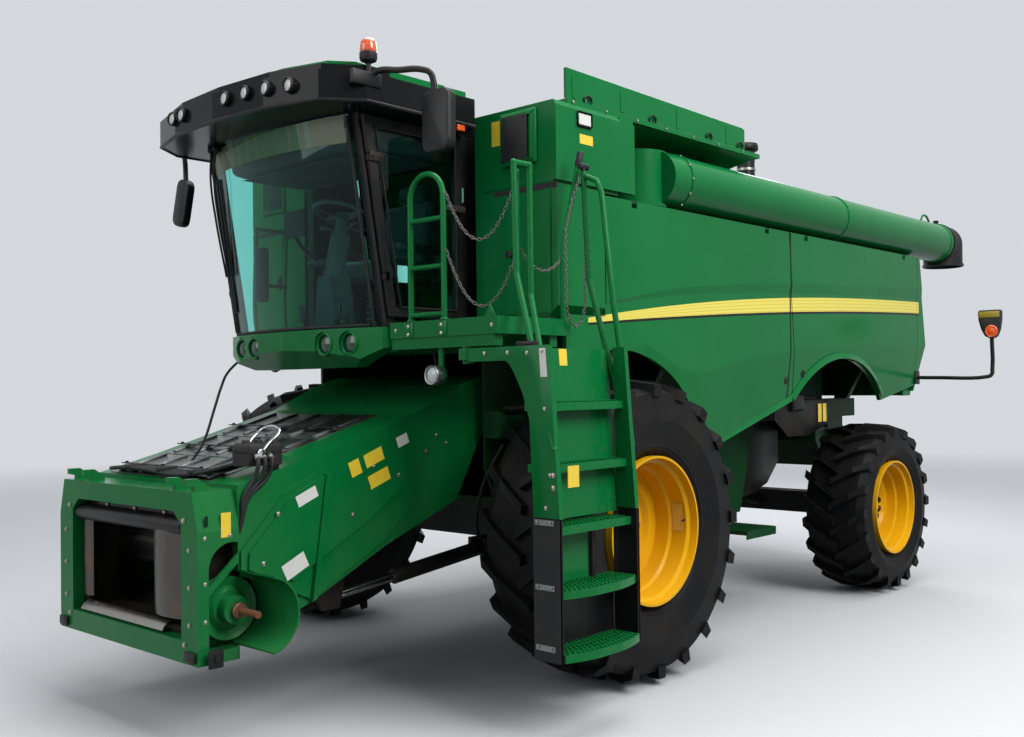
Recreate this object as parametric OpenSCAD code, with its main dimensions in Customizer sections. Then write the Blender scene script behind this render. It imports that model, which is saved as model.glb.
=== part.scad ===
// Combine harvester without its header: wheels, cab, grain tank, feeder house and unloading auger.
// +X is forward, +Y is the machine's left, +Z is up. Millimetres.
// The shapes are written with x = 0 at the front axle and moved to the base centre at the end.

/* [Front wheels] */
// Radius to the tips of the front lugs
front_r = 885; // [820:5:940]
// Width of a front tyre
front_w = 650; // [560:10:700]
// Distance of a front wheel's middle plane from the centre line
front_y = 1410; // [1390:5:1430]
// Radius of the front rim's outer lip
front_lip_r = 432; // [400:2:460]

/* [Rear wheels] */
// Radius to the tips of the rear lugs
rear_r = 690; // [640:5:700]
// Width of a rear tyre
rear_w = 540; // [480:10:560]
// Distance of a rear wheel's middle plane from the centre line
rear_y = 1360; // [1340:5:1400]
// Radius of the rear rim's outer lip
rear_lip_r = 381; // [350:2:400]
// Distance between the axles
wheelbase = 3566; // [3500:10:3600]
// Distance of a kingpin from the centre line
kingpin_y = 1050; // [1020:5:1070]

/* [Tread] */
// Height of a lug above the carcass
lug_h = 48; // [35:1:55]
// Lugs on one side of a tyre
lug_count = 20; // [16:1:22]
// Half the width of a lug at its top
lug_half_w = 26; // [20:1:32]
// How far a lug's inner end leads its outer end, in degrees
lug_lead = 15; // [8:1:17]

/* [Body] */
// Distance of the side panels' outer faces from the centre line
side_y = 1470; // [1450:5:1490]
// Thickness of a side panel
panel_t = 30; // [26:1:34]
// Height of the side panels' top edge
panel_top = 2840; // [2820:5:2845]
// How far the body reaches behind the rear axle
rear_overhang = 934; // [920:2:950]
// Where the front and rear side panels part
split_x = -2080; // [-2150:10:-2000]
// Gap between the front and rear side panels
split_gap = 12; // [8:1:20]
// Radius of the side panels' edge round the front wheel
front_arch_r = 1055; // [1040:5:1110]
// Thickness of the sheet metal
sheet = 20; // [12:1:24]
// Half the outer width of the threshing housing
sep_y = 800; // [780:5:820]
// Height of the deck that carries the tank and the engine
deck_z = 2120; // [2110:2:2130]
// Thickness of the deck
deck_t = 70; // [50:5:70]

/* [Grain tank] */
// Front wall of the tank
tank_x1 = -20; // [-60:5:0]
// Rear wall of the tank
tank_x0 = -1660; // [-1700:10:-1600]
// Left wall of the tank, inside the unloading auger
tank_y1 = 1020; // [980:5:1030]
// Right wall of the tank
tank_y0 = -1370; // [-1378:2:-1340]
// Height of the tank's rim
rim_z = 3360; // [3340:5:3380]
// Height of the folding flaps at their front end
flap_h = 180; // [140:5:200]

/* [Unloading auger] */
// Radius of the auger tube
tube_r = 178; // [160:1:180]
// Height of the auger tube's axis when stowed
tube_z = 3040; // [3035:1:3050]
// Distance of the stowed tube's axis from the centre line
tube_y = 1360; // [1350:5:1370]
// Rear end of the metal tube when stowed
tube_x0 = -5160; // [-5400:20:-5000]
// Where the auger swings, along the machine
turret_x = -500; // [-520:5:-490]
// Where the auger swings, across the machine
turret_y = 1240; // [1230:5:1250]

/* [Cab] */
// Half the width of the cab
cab_y = 740; // [720:5:760]
// Height of the cab floor's top
cab_floor_z = 2070; // [2060:5:2080]
// Foot of the windscreen at the pillars
pillar_x = 1200; // [1180:5:1220]
// How far the pillars lean forward up to the roof
pillar_lean = 190; // [120:10:220]
// Underside of the roof
roof_z = 3240; // [3220:5:3260]
// How far the windscreen bows forward in the middle
screen_bow = 130; // [90:5:160]
// Rear edge of the door
door_back_x = 630; // [620:5:640]

/* [Feeder house] */
// Half the width of the feeder house
feeder_y = 710; // [690:5:720]
// Front plane of the header seat
face_x = 2380; // [2360:5:2400]
// Lowest edge of the header seat
face_z0 = 410; // [390:5:430]
// Top edge of the header seat
face_z1 = 1240; // [1220:5:1260]
// Where the feeder house pivots, along the machine
lift_x = 300; // [290:5:310]
// Height of the feeder house's pivot
lift_z = 1700; // [1690:5:1710]
// Radius of the header drive shaft's free end
stub_r = 17.5; // [15:0.5:20]

/* [Ladder and platform] */
// Height of the platform's top
platform_z = 2090; // [2080:5:2100]
// Outer edge of the platform
platform_y = 1590; // [1570:5:1600]
// Radius of the handrail tube
rail_r = 16; // [13:1:18]
// Height of the lowest step
step_z0 = 440; // [420:5:460]
// Rise from step to step
step_rise = 302; // [295:1:306]
// Number of steps
step_count = 5; // [4:1:5]

/* [Hidden] */
$fn = 48;

green = "#0d6b2d";
dark_green = "#0a4a22";
yellow = "#f0c020";
black = "#1a1a1a";
grey = "#77787a";
seat_gap = 0.3;   // clearance where one piece seats on another body's piece
run_gap = 6;      // clearance between pieces that move past each other
weld = 1;         // how far a weld stands out round a bend
spout_len = 185;
spout_drop = 215;

// Front and rear ends of the whole machine, which set its middle.
spout_x0 = tube_x0 - spout_len - tube_r - weld;
base_shift = -(face_x + spout_x0) / 2;

rear_x = -wheelbase - rear_overhang;
bulge_x = rear_x - 130;    // rearmost line of the body, at bulge_z
bulge_z = 2055;
foot_x = rear_x + 50;      // lower rear corner of the body
foot_z = 1600;
panel_end_x = rear_x + 60;
panel_y0 = side_y - panel_t;
rail_y1 = panel_y0 - 10;
rail_y0 = rail_y1 - 50;
rail_z1 = panel_top + 10;
rail_z0 = rail_z1 - 50;
hinge_y = side_y - panel_t / 2;
hinge_z = panel_top - 8;
hinge_r = 12;
hinge_pin_r = 5;
chassis_z0 = 1420;
chassis_z1 = 1580;
chassis_y1 = sep_y + 120;

// Stations of a long solid, `count` points each, going round and round the same way.
module loft(points, count) {
    n = len(points) / count - 1;
    sides = [for (i = [0:n - 1]) for (j = [0:count - 1]) let (a = count * i, k = (j + 1) % count)
        each [[a + j, a + k, a + count + k], [a + j, a + count + k, a + count + j]]];
    polyhedron(points, concat([[for (j = [count - 1:-1:0]) j]], sides,
        [[for (j = [0:count - 1]) count * n + j]]));
}

// Outlines given in X and Z, with their thickness from y0 to y1.
module xz(y0, y1) {
    translate([0, y1, 0]) rotate([90, 0, 0]) linear_extrude(y1 - y0) children();
}

// Outlines given in Y and Z, with their thickness from x0 to x1.
module yz(x0, x1) {
    translate([x0, 0, 0]) rotate([90, 0, 90]) linear_extrude(x1 - x0) children();
}

// A block from its lowest to its highest corner.
module block(low, high) {
    translate(low) cube(high - low);
}

// A round bar between two points.
module bar(a, b, r) {
    v = b - a;
    length = norm(v);
    translate(a) rotate([0, acos(v[2] / length), atan2(v[1], v[0])]) cylinder(h=length, r=r);
}

// A tube bent along a list of points, with a weld swelling of 1 mm at each bend.
module bent(points, r) {
    for (i = [0:len(points) - 2]) bar(points[i], points[i + 1], r);
    for (i = [1:len(points) - 2]) translate(points[i]) sphere(r=r + weld);
}

// A round bar along Y, centred at (x, z).
module cross_bar(x, z, y0, y1, r) {
    translate([x, y1, z]) rotate([90, 0, 0]) cylinder(h=y1 - y0, r=r);
}

module both_sides() {
    children();
    mirror([0, 1, 0]) children();
}

module placed() {
    translate([base_shift, 0, 0]) children();
}

// Chassis

outrigger_xs = [rear_x + 300, -3100, split_x, -1050, 20];

module frame() color(dark_green) placed() {
    both_sides() {
        block([rear_x + 200, sep_y, chassis_z0], [480, chassis_y1, chassis_z1]);
        block([-170, sep_y, 1010], [170, chassis_y1, chassis_z0]);
        for (x = outrigger_xs)
            yz(x, x + 60) polygon([[sep_y, chassis_z1], [chassis_y1, chassis_z1],
                [chassis_y1 + 140, chassis_z1 + 250], [rail_y0 + 20, deck_z - deck_t - 65],
                [rail_y0 + 20, deck_z - deck_t], [sep_y, deck_z - deck_t]]);
    }
    block([rear_x + 200, -rail_y0 - 20, deck_z - deck_t], [590, rail_y0 + 20, deck_z]);
    // Service step behind the left front wheel
    block([-1990, sep_y, 600], [-1930, sep_y + 80, chassis_z0]);
    block([-2390, sep_y, 590], [-1960, 1150, 620]);
    block([-2390, 1140, 560], [-1960, 1150, 620]);
}

// Posts and top rails that carry the side panels' hinges.
hinge_xs = [
    // x of each hinge; the first two carry the front panel, the last two the rear panel
    -150, -1750, split_x - 260, panel_end_x + 290
];

module side_frame() color(dark_green) placed() both_sides() {
    block([rear_x + 120, rail_y0, rail_z0], [100, rail_y1, rail_z1]);
    for (x = [60, -1050, split_x - 20, -3100, rear_x + 160])
        block([x, rail_y0, deck_z], [x + 40, rail_y1 - 10, rail_z0]);
    for (x = hinge_xs) {
        block([x - 22, rail_y1, hinge_z - 6], [x + 22, hinge_y, hinge_z + 6]);
        bar([x - 22, hinge_y, hinge_z], [x + 22, hinge_y, hinge_z], hinge_r);
        bar([x - 50, hinge_y, hinge_z], [x + 50, hinge_y, hinge_z], hinge_pin_r);
    }
}

// Outline of the threshing and cleaning housing, seen from the side.
sep_outline = [
    [480, deck_z - deck_t], [480, 1240], [380, 1010], [-260, 1010], [-450, 700], [-2450, 700],
    [-2700, chassis_z0], [rear_x + 600, chassis_z0], [rear_x + 600, deck_z - deck_t]
];

module separator() color(dark_green) placed() {
    difference() {
        xz(-sep_y, sep_y) polygon(sep_outline);
        xz(-sep_y + sheet, sep_y - sheet) offset(delta=-sheet) polygon(sep_outline);
        block([370, -sep_y + sheet, 1055], [500, sep_y - sheet, deck_z - deck_t - sheet]);
        block([rear_x + 550, -sep_y + sheet, chassis_z0 + sheet],
              [rear_x + 700, sep_y - sheet, deck_z - deck_t - sheet]);
    }
    both_sides() cross_bar(lift_x, lift_z, feeder_y - sheet + 2, sep_y - sheet, lift_pin_r);
}

lift_pin_r = 45;

cabinet_x1 = 580;
vent_y0 = 1090;
vent_y1 = 1315;
vent_z0 = 2990;
vent_z1 = 3275;

module front_cabinets() color(green) placed() both_sides() {
    difference() {
        union() {
            yz(150, cabinet_x1) polygon([[840, deck_z], [1400, deck_z], [side_y, deck_z + 60],
                [side_y, rail_z1 + 10], [840, rail_z1 + 10]]);
            xz(900, 1380) polygon([[150, deck_z], [150, rail_z1 + 10], [100, rail_z1 + 10],
                [100, deck_z]]);
            yz(tank_x1, cabinet_x1) polygon([[840, rail_z1 + 10], [side_y - 25, rail_z1 + 10],
                [side_y - 25, rail_z1 + 30], [side_y, rail_z1 + 30], [side_y, rim_z - 60],
                [side_y - 20, rim_z - 30], [840, rim_z - 30]]);
        }
        block([cabinet_x1 - 45, vent_y0, vent_z0], [cabinet_x1 + 1, vent_y1, vent_z1]);
        block([cabinet_x1 - 6, 900, rail_z1 + 12], [cabinet_x1 + 1, side_y + 1, rail_z1 + 24]);
    }
    for (z = [vent_z0 + 25:45:vent_z1])
        xz(vent_y0, vent_y1) polygon([[cabinet_x1 - 45, z + 24], [cabinet_x1 - 45, z + 18],
            [cabinet_x1 - 6, z], [cabinet_x1 - 6, z + 6]]);
    block([cabinet_x1, 1090, 2140], [cabinet_x1 + 10, 1425, 2830]);
    block([cabinet_x1 + 10, 1110, 2440], [cabinet_x1 + 25, 1130, 2540]);
    block([-160, side_y - 30, rail_z1 + 30], [tank_x1, side_y, rim_z - 60]);
    block([-160, side_y - 30, rim_z - 60], [tank_x1, side_y - 10, rim_z - 30]);
}

// Grain tank: a shell with a sloping floor, a flared top over the auger and a flat rim.
module tank_section(t) {
    polygon([[tank_y1 - t, deck_z + 300], [tank_y1 - t, 3235 + t / 2], [1430 - 2 * t, rim_z - 30],
        [1430 - 2 * t, rim_z + 1], [-1430 + 2 * t, rim_z + 1], [-1430 + 2 * t, rim_z - 30],
        [tank_y0 + t, 3235], [tank_y0 + t, deck_z + 300], [-300, deck_z + t], [100, deck_z + t]]);
}

module grain_tank() color(green) placed() {
    difference() {
        union() {
            intersection() {
                yz(tank_x0, tank_x1) tank_section(0);
                block([tank_x0, -1500, deck_z], [tank_x1, 1500, rim_z - 30]);
            }
            block([tank_x0 - 40, -1450, rim_z - 30], [450, 1450, rim_z]);
        }
        yz(tank_x0 + sheet, tank_x1 - sheet) tank_section(sheet);
    }
    // Ridge over the cross auger in the tank's trough
    yz(tank_x0 + sheet - 1, tank_x1 - sheet + 1) polygon([[-260, deck_z + 150], [60, deck_z + 150],
        [-100, deck_z + 290]]);
    both_sides() for (x = flap_hinge_xs) {
        block([x - 12, flap_y - 7, rim_z], [x + 12, flap_y + 7, flap_hinge_z]);
        bar([x - 12, flap_y, flap_hinge_z], [x + 12, flap_y, flap_hinge_z], 7);
        bar([x - 30, flap_y, flap_hinge_z], [x + 30, flap_y, flap_hinge_z], 4);
    }
}

// Folding flap on the rim's side, upright at rest.
flap_y = 1425;
flap_hinge_z = rim_z + 14;
flap_hinge_xs = [250, -400, -1050, -1450];

module tank_flap() difference() {
    xz(flap_y - 9, flap_y + 9) polygon([[440, rim_z + 8], [440, rim_z + flap_h],
        [-1520, rim_z + flap_h - 30], [-1520, rim_z + 8]]);
    for (x = flap_hinge_xs) {
        block([x - 17, flap_y - 10, rim_z], [x + 17, flap_y + 10, flap_hinge_z + 14]);
        bar([x - 36, flap_y, flap_hinge_z], [x + 36, flap_y, flap_hinge_z], 4 + seat_gap);
    }
}

module tank_flap_left() color(green) placed() tank_flap();
module tank_flap_right() color(green) placed() mirror([0, 1, 0]) tank_flap();

module engine() color(grey) placed() block([-2950, -450, deck_z], [-1850, 450, 2800]);

cover_x1 = tank_x0 - 45;

module engine_cover() color(green) placed() {
    difference() {
        xz(-1080, 1080) polygon([[cover_x1, rail_z1], [cover_x1, 3280], [-3000, 3280],
            [-3600, 3020], [-3700, rail_z1]]);
        xz(-1060, 1060) polygon([[cover_x1 - 20, rail_z1 - 1], [cover_x1 - 20, 3260],
            [-2995, 3260], [-3582, 3003], [-3670, rail_z1 - 1]]);
        translate([exhaust_x, exhaust_y, 3200]) cylinder(h=100, r=90);
    }
}

exhaust_x = -2900;
exhaust_y = 640;

module exhaust() color(black) placed() {
    translate([exhaust_x, exhaust_y, 2800]) cylinder(h=900, r=75);
    translate([exhaust_x, exhaust_y, 3700]) cylinder(h=50, r=100);
    block([exhaust_x - 60, 400, 2800], [exhaust_x + 60, exhaust_y, 2900]);
}

// Rear hood over the straw walkers' outlet.
hood_x1 = -1700;
hood_t = 40;
hood_outline = [
    [hood_x1, rail_z1], [rear_x, rail_z1], [bulge_x, bulge_z], [foot_x, foot_z]
];

module rear_hood() color(green) placed() {
    both_sides() intersection() {
        bent_side(2 * panel_t);
        xz(side_y - 200, side_y + 1) polygon([[panel_end_x - run_gap, rail_z1 - 10],
            [rear_x, rail_z1 - 10], [bulge_x + 5, bulge_z], [foot_x, foot_z + 40],
            [panel_end_x - run_gap, foot_z + 40]]);
    }
    both_sides() xz(rail_y0 - hood_t, side_y - 2 * panel_t + 1) polygon([
        [panel_end_x - run_gap, rail_z1 - 10], [rear_x, rail_z1 - 10], [bulge_x + 5, bulge_z],
        [bulge_x + 10, bulge_z - 20], [panel_end_x - run_gap, bulge_z - 20]]);
    difference() {
        block([rear_x + 320, 1190, rail_z1 - 10], [rear_x + 380, 1300, rail_z1 + 90]);
        bar([rear_x + 319, tube_y, tube_z], [rear_x + 381, tube_y, tube_z], tube_r + run_gap);
    }
    difference() {
        xz(-rail_y0, rail_y0) polygon(concat(hood_outline, [[rear_x + 200, foot_z],
            [rear_x + 200, deck_z], [hood_x1, deck_z]]));
        xz(-rail_y0 + hood_t, rail_y0 - hood_t) polygon([[hood_x1 + 100, rail_z1 - sheet],
            [rear_x + 18, rail_z1 - sheet], [bulge_x + 21, bulge_z], [foot_x + 20, foot_z - 10],
            [rear_x + 300, foot_z - 10], [rear_x + 300, deck_z - 1], [hood_x1 + 100, deck_z - 1]]);
        block([rear_x + 300, -rail_y0 - 1, deck_z - 1], [hood_x1 + 100, rail_y0 + 1, rail_z1 - 120]);
        block([-3650, -1020, rail_z1 - 50], [-1750, 1020, rail_z1 + 1]);
    }
}

// Straw chopper under the hood.
chop_x = rear_x + 320;
chop_z = 1250;
chop_y = 700;
tail_x = rear_x + 100;
tail_z = chop_z + 120;

module chopper_housing() color(dark_green) placed() {
    difference() {
        xz(-chop_y - 20, chop_y + 20) polygon([[chop_x + 260, chassis_z0], [chop_x + 260, 1200],
            [chop_x + 80, 960], [chop_x - 240, 960], [chop_x - 300, 1180],
            [chop_x - 270, chassis_z0]]);
        xz(-chop_y, chop_y) polygon([[chop_x + 240, chassis_z0 + 1], [chop_x + 240, 1207],
            [chop_x + 71, 980], [chop_x - 320, 980], [chop_x - 320, chassis_z0 + 1]]);
        cross_bar(chop_x, chop_z, -chop_y - 30, chop_y + 30, 45);
        cross_bar(tail_x, tail_z, -chop_y - 30, chop_y + 30, 12 + seat_gap);
    }
    both_sides() {
        block([chop_x - 120, chop_y + 20, chassis_z0 - 100], [chop_x + 180, sep_y, chassis_z0]);
        block([chop_x - 120, chop_y + 40, chassis_z0], [chop_x + 180, sep_y, chassis_z1]);
    }
}

module chopper_rotor() color(grey) placed() {
    cross_bar(chop_x, chop_z, -760, 760, 45 - seat_gap);
    cross_bar(chop_x, chop_z, -690, 690, 80);
    for (y = [-600:200:600])
        for (a = [0:90:270])
            translate([chop_x, y, chop_z]) rotate([0, a, 0]) block([60, -4, -25], [210, 4, 25]);
}

module tailboard() color(dark_green) placed() {
    translate([tail_x, 0, tail_z]) rotate([0, -25, 0]) {
        block([-430, -chop_y + 10, -10], [0, chop_y - 10, 10]);
        for (y = [-600:200:600]) block([-410, y - 5, -80], [-60, y + 5, -10]);
        cross_bar(0, 0, -chop_y - 15, chop_y + 15, 12);
    }
}

// Side panels

// The lines that run along the body's side. Below the ledge the side steps in, and below the
// crease it slopes inwards.
side_lines = [
    // x, top of the ledge, foot of the ledge, crease
    [bulge_x - 70, 2570, 2484, bulge_z + 3], [-2635, 2487, 2412, 2002], [-2166, 2460, 2391, 1964],
    [-1457, 2417, 2358, 1898], [-858, 2366, 2318, 1794], [-604, 2341, 2297, 1839],
    [-259, 2284, 2255, 1984], [0, 2241, 2219, 1900], [600, 2140, 2130, 1900]
];
ledge = 10;           // how far the side steps in under the ledge
side_slope = 0.118;   // how far the lower part comes in for each millimetre down
rear_arch = [-wheelbase + 608, 816, 1101];    // centre x, centre z, radius

// The body's side as one bent sheet, t thick.
module bent_side(t) {
    low = 1200;
    high = rail_z1;
    loft([for (c = side_lines) let (y = side_y - ledge, foot = y - side_slope * (c[3] - low)) each [
        [c[0], side_y, high], [c[0], side_y, c[1]], [c[0], y, c[2]], [c[0], y, c[3]],
        [c[0], foot, low], [c[0], foot - t, low], [c[0], y - t, c[3]], [c[0], y - t, c[2]],
        [c[0], side_y - t, c[1]], [c[0], side_y - t, high]]], 10);
}

module panel_notches(xs) {
    for (x = xs) {
        block([x - 27, panel_y0 - 1, hinge_z - 34], [x + 27, side_y + 1, panel_top + 1]);
        bar([x - 60, hinge_y, hinge_z], [x + 60, hinge_y, hinge_z], hinge_pin_r + seat_gap);
    }
}

module panel_front() difference() {
    intersection() {
        bent_side(panel_t);
        xz(side_y - 200, side_y + 1) polygon([[140, panel_top], [140, deck_z + 12],
            [500, deck_z + 12], [500, 1900], [-600, 1300], [-1130, 1300],
            [split_x + split_gap / 2 - 95, 1595], [split_x + split_gap / 2, panel_top]]);
    }
    cross_bar(0, front_r, side_y - 201, side_y + 2, front_arch_r);
    panel_notches([hinge_xs[0], hinge_xs[1]]);
}

module panel_rear() difference() {
    intersection() {
        bent_side(panel_t);
        xz(side_y - 200, side_y + 1) polygon([[split_x - split_gap / 2, panel_top],
            [split_x - split_gap / 2 - 95, 1570], [-wheelbase - 194, 1570],
            [panel_end_x, foot_z + 90], [panel_end_x, panel_top]]);
    }
    cross_bar(rear_arch[0], rear_arch[1], side_y - 201, side_y + 2, rear_arch[2]);
    panel_notches([hinge_xs[2], hinge_xs[3]]);
}

module panel_front_left() color(green) placed() panel_front();
module panel_rear_left() color(green) placed() panel_rear();
module panel_front_right() color(green) placed() mirror([0, 1, 0]) panel_front();
module panel_rear_right() color(green) placed() mirror([0, 1, 0]) panel_rear();

// Unloading auger

turret_z = rail_z1 + 5;

module auger_turret() color(green) placed() {
    translate([turret_x, turret_y, deck_z]) cylinder(h=turret_z - deck_z, r=135);
}

module auger_tube() color(green) placed() {
    difference() {
        union() {
            translate([turret_x, turret_y, turret_z + seat_gap]) cylinder(h=355, r=190);
            translate([turret_x, tube_y, tube_z]) rotate([0, -90, 0])
                cylinder(h=turret_x - tube_x0, r=tube_r);
        }
        translate([turret_x - 200, tube_y, tube_z]) rotate([0, -90, 0])
            cylinder(h=turret_x - tube_x0, r=tube_r - 8);
    }
}

module spout_shape(r, over) {
    x = tube_x0 - spout_len;
    translate([tube_x0 + over, tube_y, tube_z]) rotate([0, -90, 0]) cylinder(h=spout_len + over, r=r);
    translate([x, tube_y, tube_z]) sphere(r=r + weld);
    translate([x, tube_y, tube_z - spout_drop - over]) cylinder(h=spout_drop + over, r=r);
}

module auger_spout() color(black) placed() difference() {
    spout_shape(tube_r, 0);
    spout_shape(tube_r - 10, 1);
}

// Cab

module screen_arc(t) {
    // Ring sector through both pillars, bowed forward by screen_bow
    radius = (cab_y * cab_y + screen_bow * screen_bow) / (2 * screen_bow);
    translate([screen_bow - radius, 0]) difference() {
        circle(r=radius, $fn=96);
        circle(r=radius - t, $fn=96);
        translate([-2 * radius, -radius]) square([3 * radius - screen_bow, 2 * radius]);
    }
}

nose_plan = [
    // x, y of the left half, from the cab's corner to the middle
    [1150, cab_y + 30], [1230, cab_y], [1300, 560], [1350, 300], [1365, 0]
];

module mirrored_plan(half) {
    polygon(concat(half, [for (i = [len(half) - 2:-1:0]) [half[i][0], -half[i][1]]]));
}

module cab_base() color(green) placed() {
    block([590, -cab_y - 30, deck_z - deck_t - 120], [1150, cab_y + 30, cab_floor_z]);
    difference() {
        intersection() {
            linear_extrude(cab_floor_z) mirrored_plan(nose_plan);
            yz(1149, 1400) polygon([[-cab_y - 60, cab_floor_z + 1], [-cab_y - 60, 1975],
                [-500, 1850], [500, 1850], [cab_y + 60, 1975], [cab_y + 60, cab_floor_z + 1]]);
        }
        xz(-cab_y - 40, cab_y + 40) polygon([[1140, 1790], [1410, 1790], [1410, 1990]]);
        both_sides() for (y = headlamp_ys)
            translate([1260, y, headlamp_z]) rotate([0, 90, 0]) cylinder(h=200, r=70);
    }
    both_sides() for (y = headlamp_ys)
        translate([1250, y, headlamp_z]) rotate([0, 90, 0]) cylinder(h=125 - y / 5, r=55);
}

headlamp_ys = [350, 530];
headlamp_z = 1985;

module cab_frame() color(black) placed() both_sides() {
    xz(cab_y - 60, cab_y) polygon([[pillar_x - 60, cab_floor_z], [pillar_x, cab_floor_z],
        [pillar_x + pillar_lean, roof_z], [pillar_x + pillar_lean - 60, roof_z]]);
    block([590, cab_y - 60, cab_floor_z], [625, cab_y, roof_z]);
    block([pillar_x + pillar_lean - 58, -cab_y + 60, roof_z - 45],
          [pillar_x + pillar_lean - 6, cab_y - 60, roof_z]);
    block([100, cab_y - 20, deck_z], [590, cab_y, roof_z]);
    for (z = door_hinge_zs) {
        block([door_axis(z)[0] - 14, cab_y - 20, z - 18], [door_axis(z)[0] + 10, door_y, z + 18]);
        bar(door_axis(z - 18), door_axis(z + 18), hinge_r);
        bar(door_axis(z - 40), door_axis(z + 40), hinge_pin_r);
    }
}

module windscreen() color("#8fc7bd") placed() {
    intersection() {
        xz(-cab_y + 60, cab_y - 60) polygon([[pillar_x - 200, cab_floor_z],
            [pillar_x + 400, cab_floor_z], [pillar_x + 400, roof_z],
            [pillar_x - 200, roof_z]]);
        translate([pillar_x, 0, cab_floor_z]) rotate([0, atan(pillar_lean / (roof_z - cab_floor_z)), 0])
            linear_extrude(2000) screen_arc(8);
    }
}

module cab_glass() color("#8fc7bd") placed() {
    xz(-cab_y + 26, -cab_y + 34) polygon([[625, cab_floor_z], [pillar_x - 60, cab_floor_z],
        [pillar_x + pillar_lean - 60, roof_z], [625, roof_z]]);
    block([100, -cab_y + 20, deck_z], [106, cab_y - 20, roof_z]);
}

roof_plan = [[620, 800], [690, 950], [1500, 950], [1700, 800], [1800, 450], [1830, 0]];

roof_band = 160;
// Work lamps on the roof's front: x of the face, y, z
work_lamps = [[1822, 132, 3345], [1809, 308, 3345], [1793, 476, 3340], [1752, 630, 3335],
    [1797, -460, 3340], [1809, -340, 3340]];

module cab_roof() color(green) placed() {
    translate([0, 0, roof_z]) linear_extrude(roof_band) mirrored_plan(roof_plan);
    translate([0, 0, roof_z + roof_band]) linear_extrude(45) offset(delta=-45) mirrored_plan(roof_plan);
    translate([0, 0, roof_z + roof_band + 45]) linear_extrude(45) offset(delta=-150)
        mirrored_plan(roof_plan);
    for (p = work_lamps) translate([p[0] - 60, p[1], p[2]]) rotate([0, 90, 0]) cylinder(h=75, r=42);
    block([60, -cab_y, roof_z], [620, cab_y, roof_z + 60]);
}

// The door hangs on the leaning pillar and opens at its rear edge.
door_y0 = cab_y + run_gap;
door_y1 = door_y0 + 30;
door_y = (door_y0 + door_y1) / 2;
door_z0 = cab_floor_z + 60;
door_z1 = roof_z - 15;
lean_slope = pillar_lean / (roof_z - cab_floor_z);
function door_front(z, inset) = [pillar_x - 10 - inset + lean_slope * (z - cab_floor_z), z];
function door_axis(z) = let (p = door_front(z, 8)) [p[0], door_y, z];
door_hinge_zs = [2350, 3000];

module door_outline(inset) {
    polygon([[door_back_x + inset, door_z0 + inset], door_front(door_z0 + inset, inset),
        door_front(door_z1 - inset, inset), [door_back_x + inset, door_z1 - inset]]);
}

module door() color(black) placed() difference() {
    xz(door_y0, door_y1) door_outline(0);
    xz(door_y0 - 1, door_y1 + 1) door_outline(50);
    for (z = door_hinge_zs) {
        block([door_axis(z)[0] - 24, door_y0 - 1, z - 24], [door_axis(z)[0] + 40, door_y1 + 1, z + 24]);
        bar(door_axis(z - 50), door_axis(z + 50), hinge_pin_r + seat_gap);
    }
}

module door_glass() color("#8fc7bd") placed() xz(door_y - 3, door_y + 3) door_outline(50);

seat_z = 2500;

module seat() color(black) placed() {
    block([330, -250, seat_z - 120], [850, 250, seat_z]);
    translate([330, 0, seat_z - 20]) rotate([0, -10, 0]) block([0, -240, 0], [110, 240, 600]);
    block([400, -150, deck_z], [580, 150, seat_z - 120]);
    for (y = [-340, 290]) block([300, y, seat_z + 80], [760, y + 50, seat_z + 130]);
    for (y = [-340, 250]) block([300, y, seat_z - 100], [380, y + 90, seat_z + 100]);
}

module controls() color(black) placed() {
    yz(900, 1060) polygon([[-110, cab_floor_z], [110, cab_floor_z], [60, 2420], [-60, 2420]]);
    bar([980, 0, 2400], [897, 0, 2812], 45);
    translate([895, 0, 2810]) rotate([0, -20, 0]) rotate_extrude() translate([190, 0]) circle(r=15);
    bar([895, -190, 2810], [895, 190, 2810], 12);
    block([150, -680, deck_z], [560, -420, 2560]);
}

// Platform, rails and ladder

module platform() color(green) placed() {
    block([620, cab_y + 30, platform_z - 90], [pillar_x, platform_y, platform_z]);
    for (x = [700, 1130]) block([x, cab_y + 30, platform_z - 150], [x + 60, 1560, platform_z - 90]);
    translate([pivot_x, pivot_y, 1850]) cylinder(h=100, r=pivot_r);
    // Lamp under the platform's front edge
    block([1150, 1120, 1800], [1165, 1152, platform_z - 90]);
    translate([1165, 1136, 1795]) rotate([0, 90, 0]) cylinder(h=60, r=50);
}

door_rail = [pillar_x - 15, 930, 1190];    // x, nearer and farther post
door_rail_rungs = [2122, 2378, 2634];

module handrails() color(green) placed() {
    x = door_rail[0];
    mid = (door_rail[1] + door_rail[2]) / 2;
    bend_r = (door_rail[2] - door_rail[1]) / 2;
    for (y = [door_rail[1], door_rail[2]]) bar([x, y, platform_z], [x, y, 2750], rail_r);
    translate([x, mid, 2750]) rotate([90, 0, 90]) rotate_extrude(angle=180) translate([bend_r, 0])
        circle(r=rail_r);
    for (z = door_rail_rungs) bar([x, door_rail[1], z], [x, door_rail[2], z], rail_r - 2);
    bar([650, 1565, platform_z], [650, 1565, 3000], rail_r);
    bar([900, 1565, platform_z], [900, 1565, 2900], rail_r);
    bar([840, 1565, 2900], [960, 1565, 2900], rail_r + 4);
}

pivot_x = 1160;
pivot_y = 1340;
pivot_r = 30;
ladder_x0 = 560;
ladder_x1 = 1200;
ladder_top = 1930;
flap_top = 1090;    // below it the lowest two steps hang on rubber sides

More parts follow.
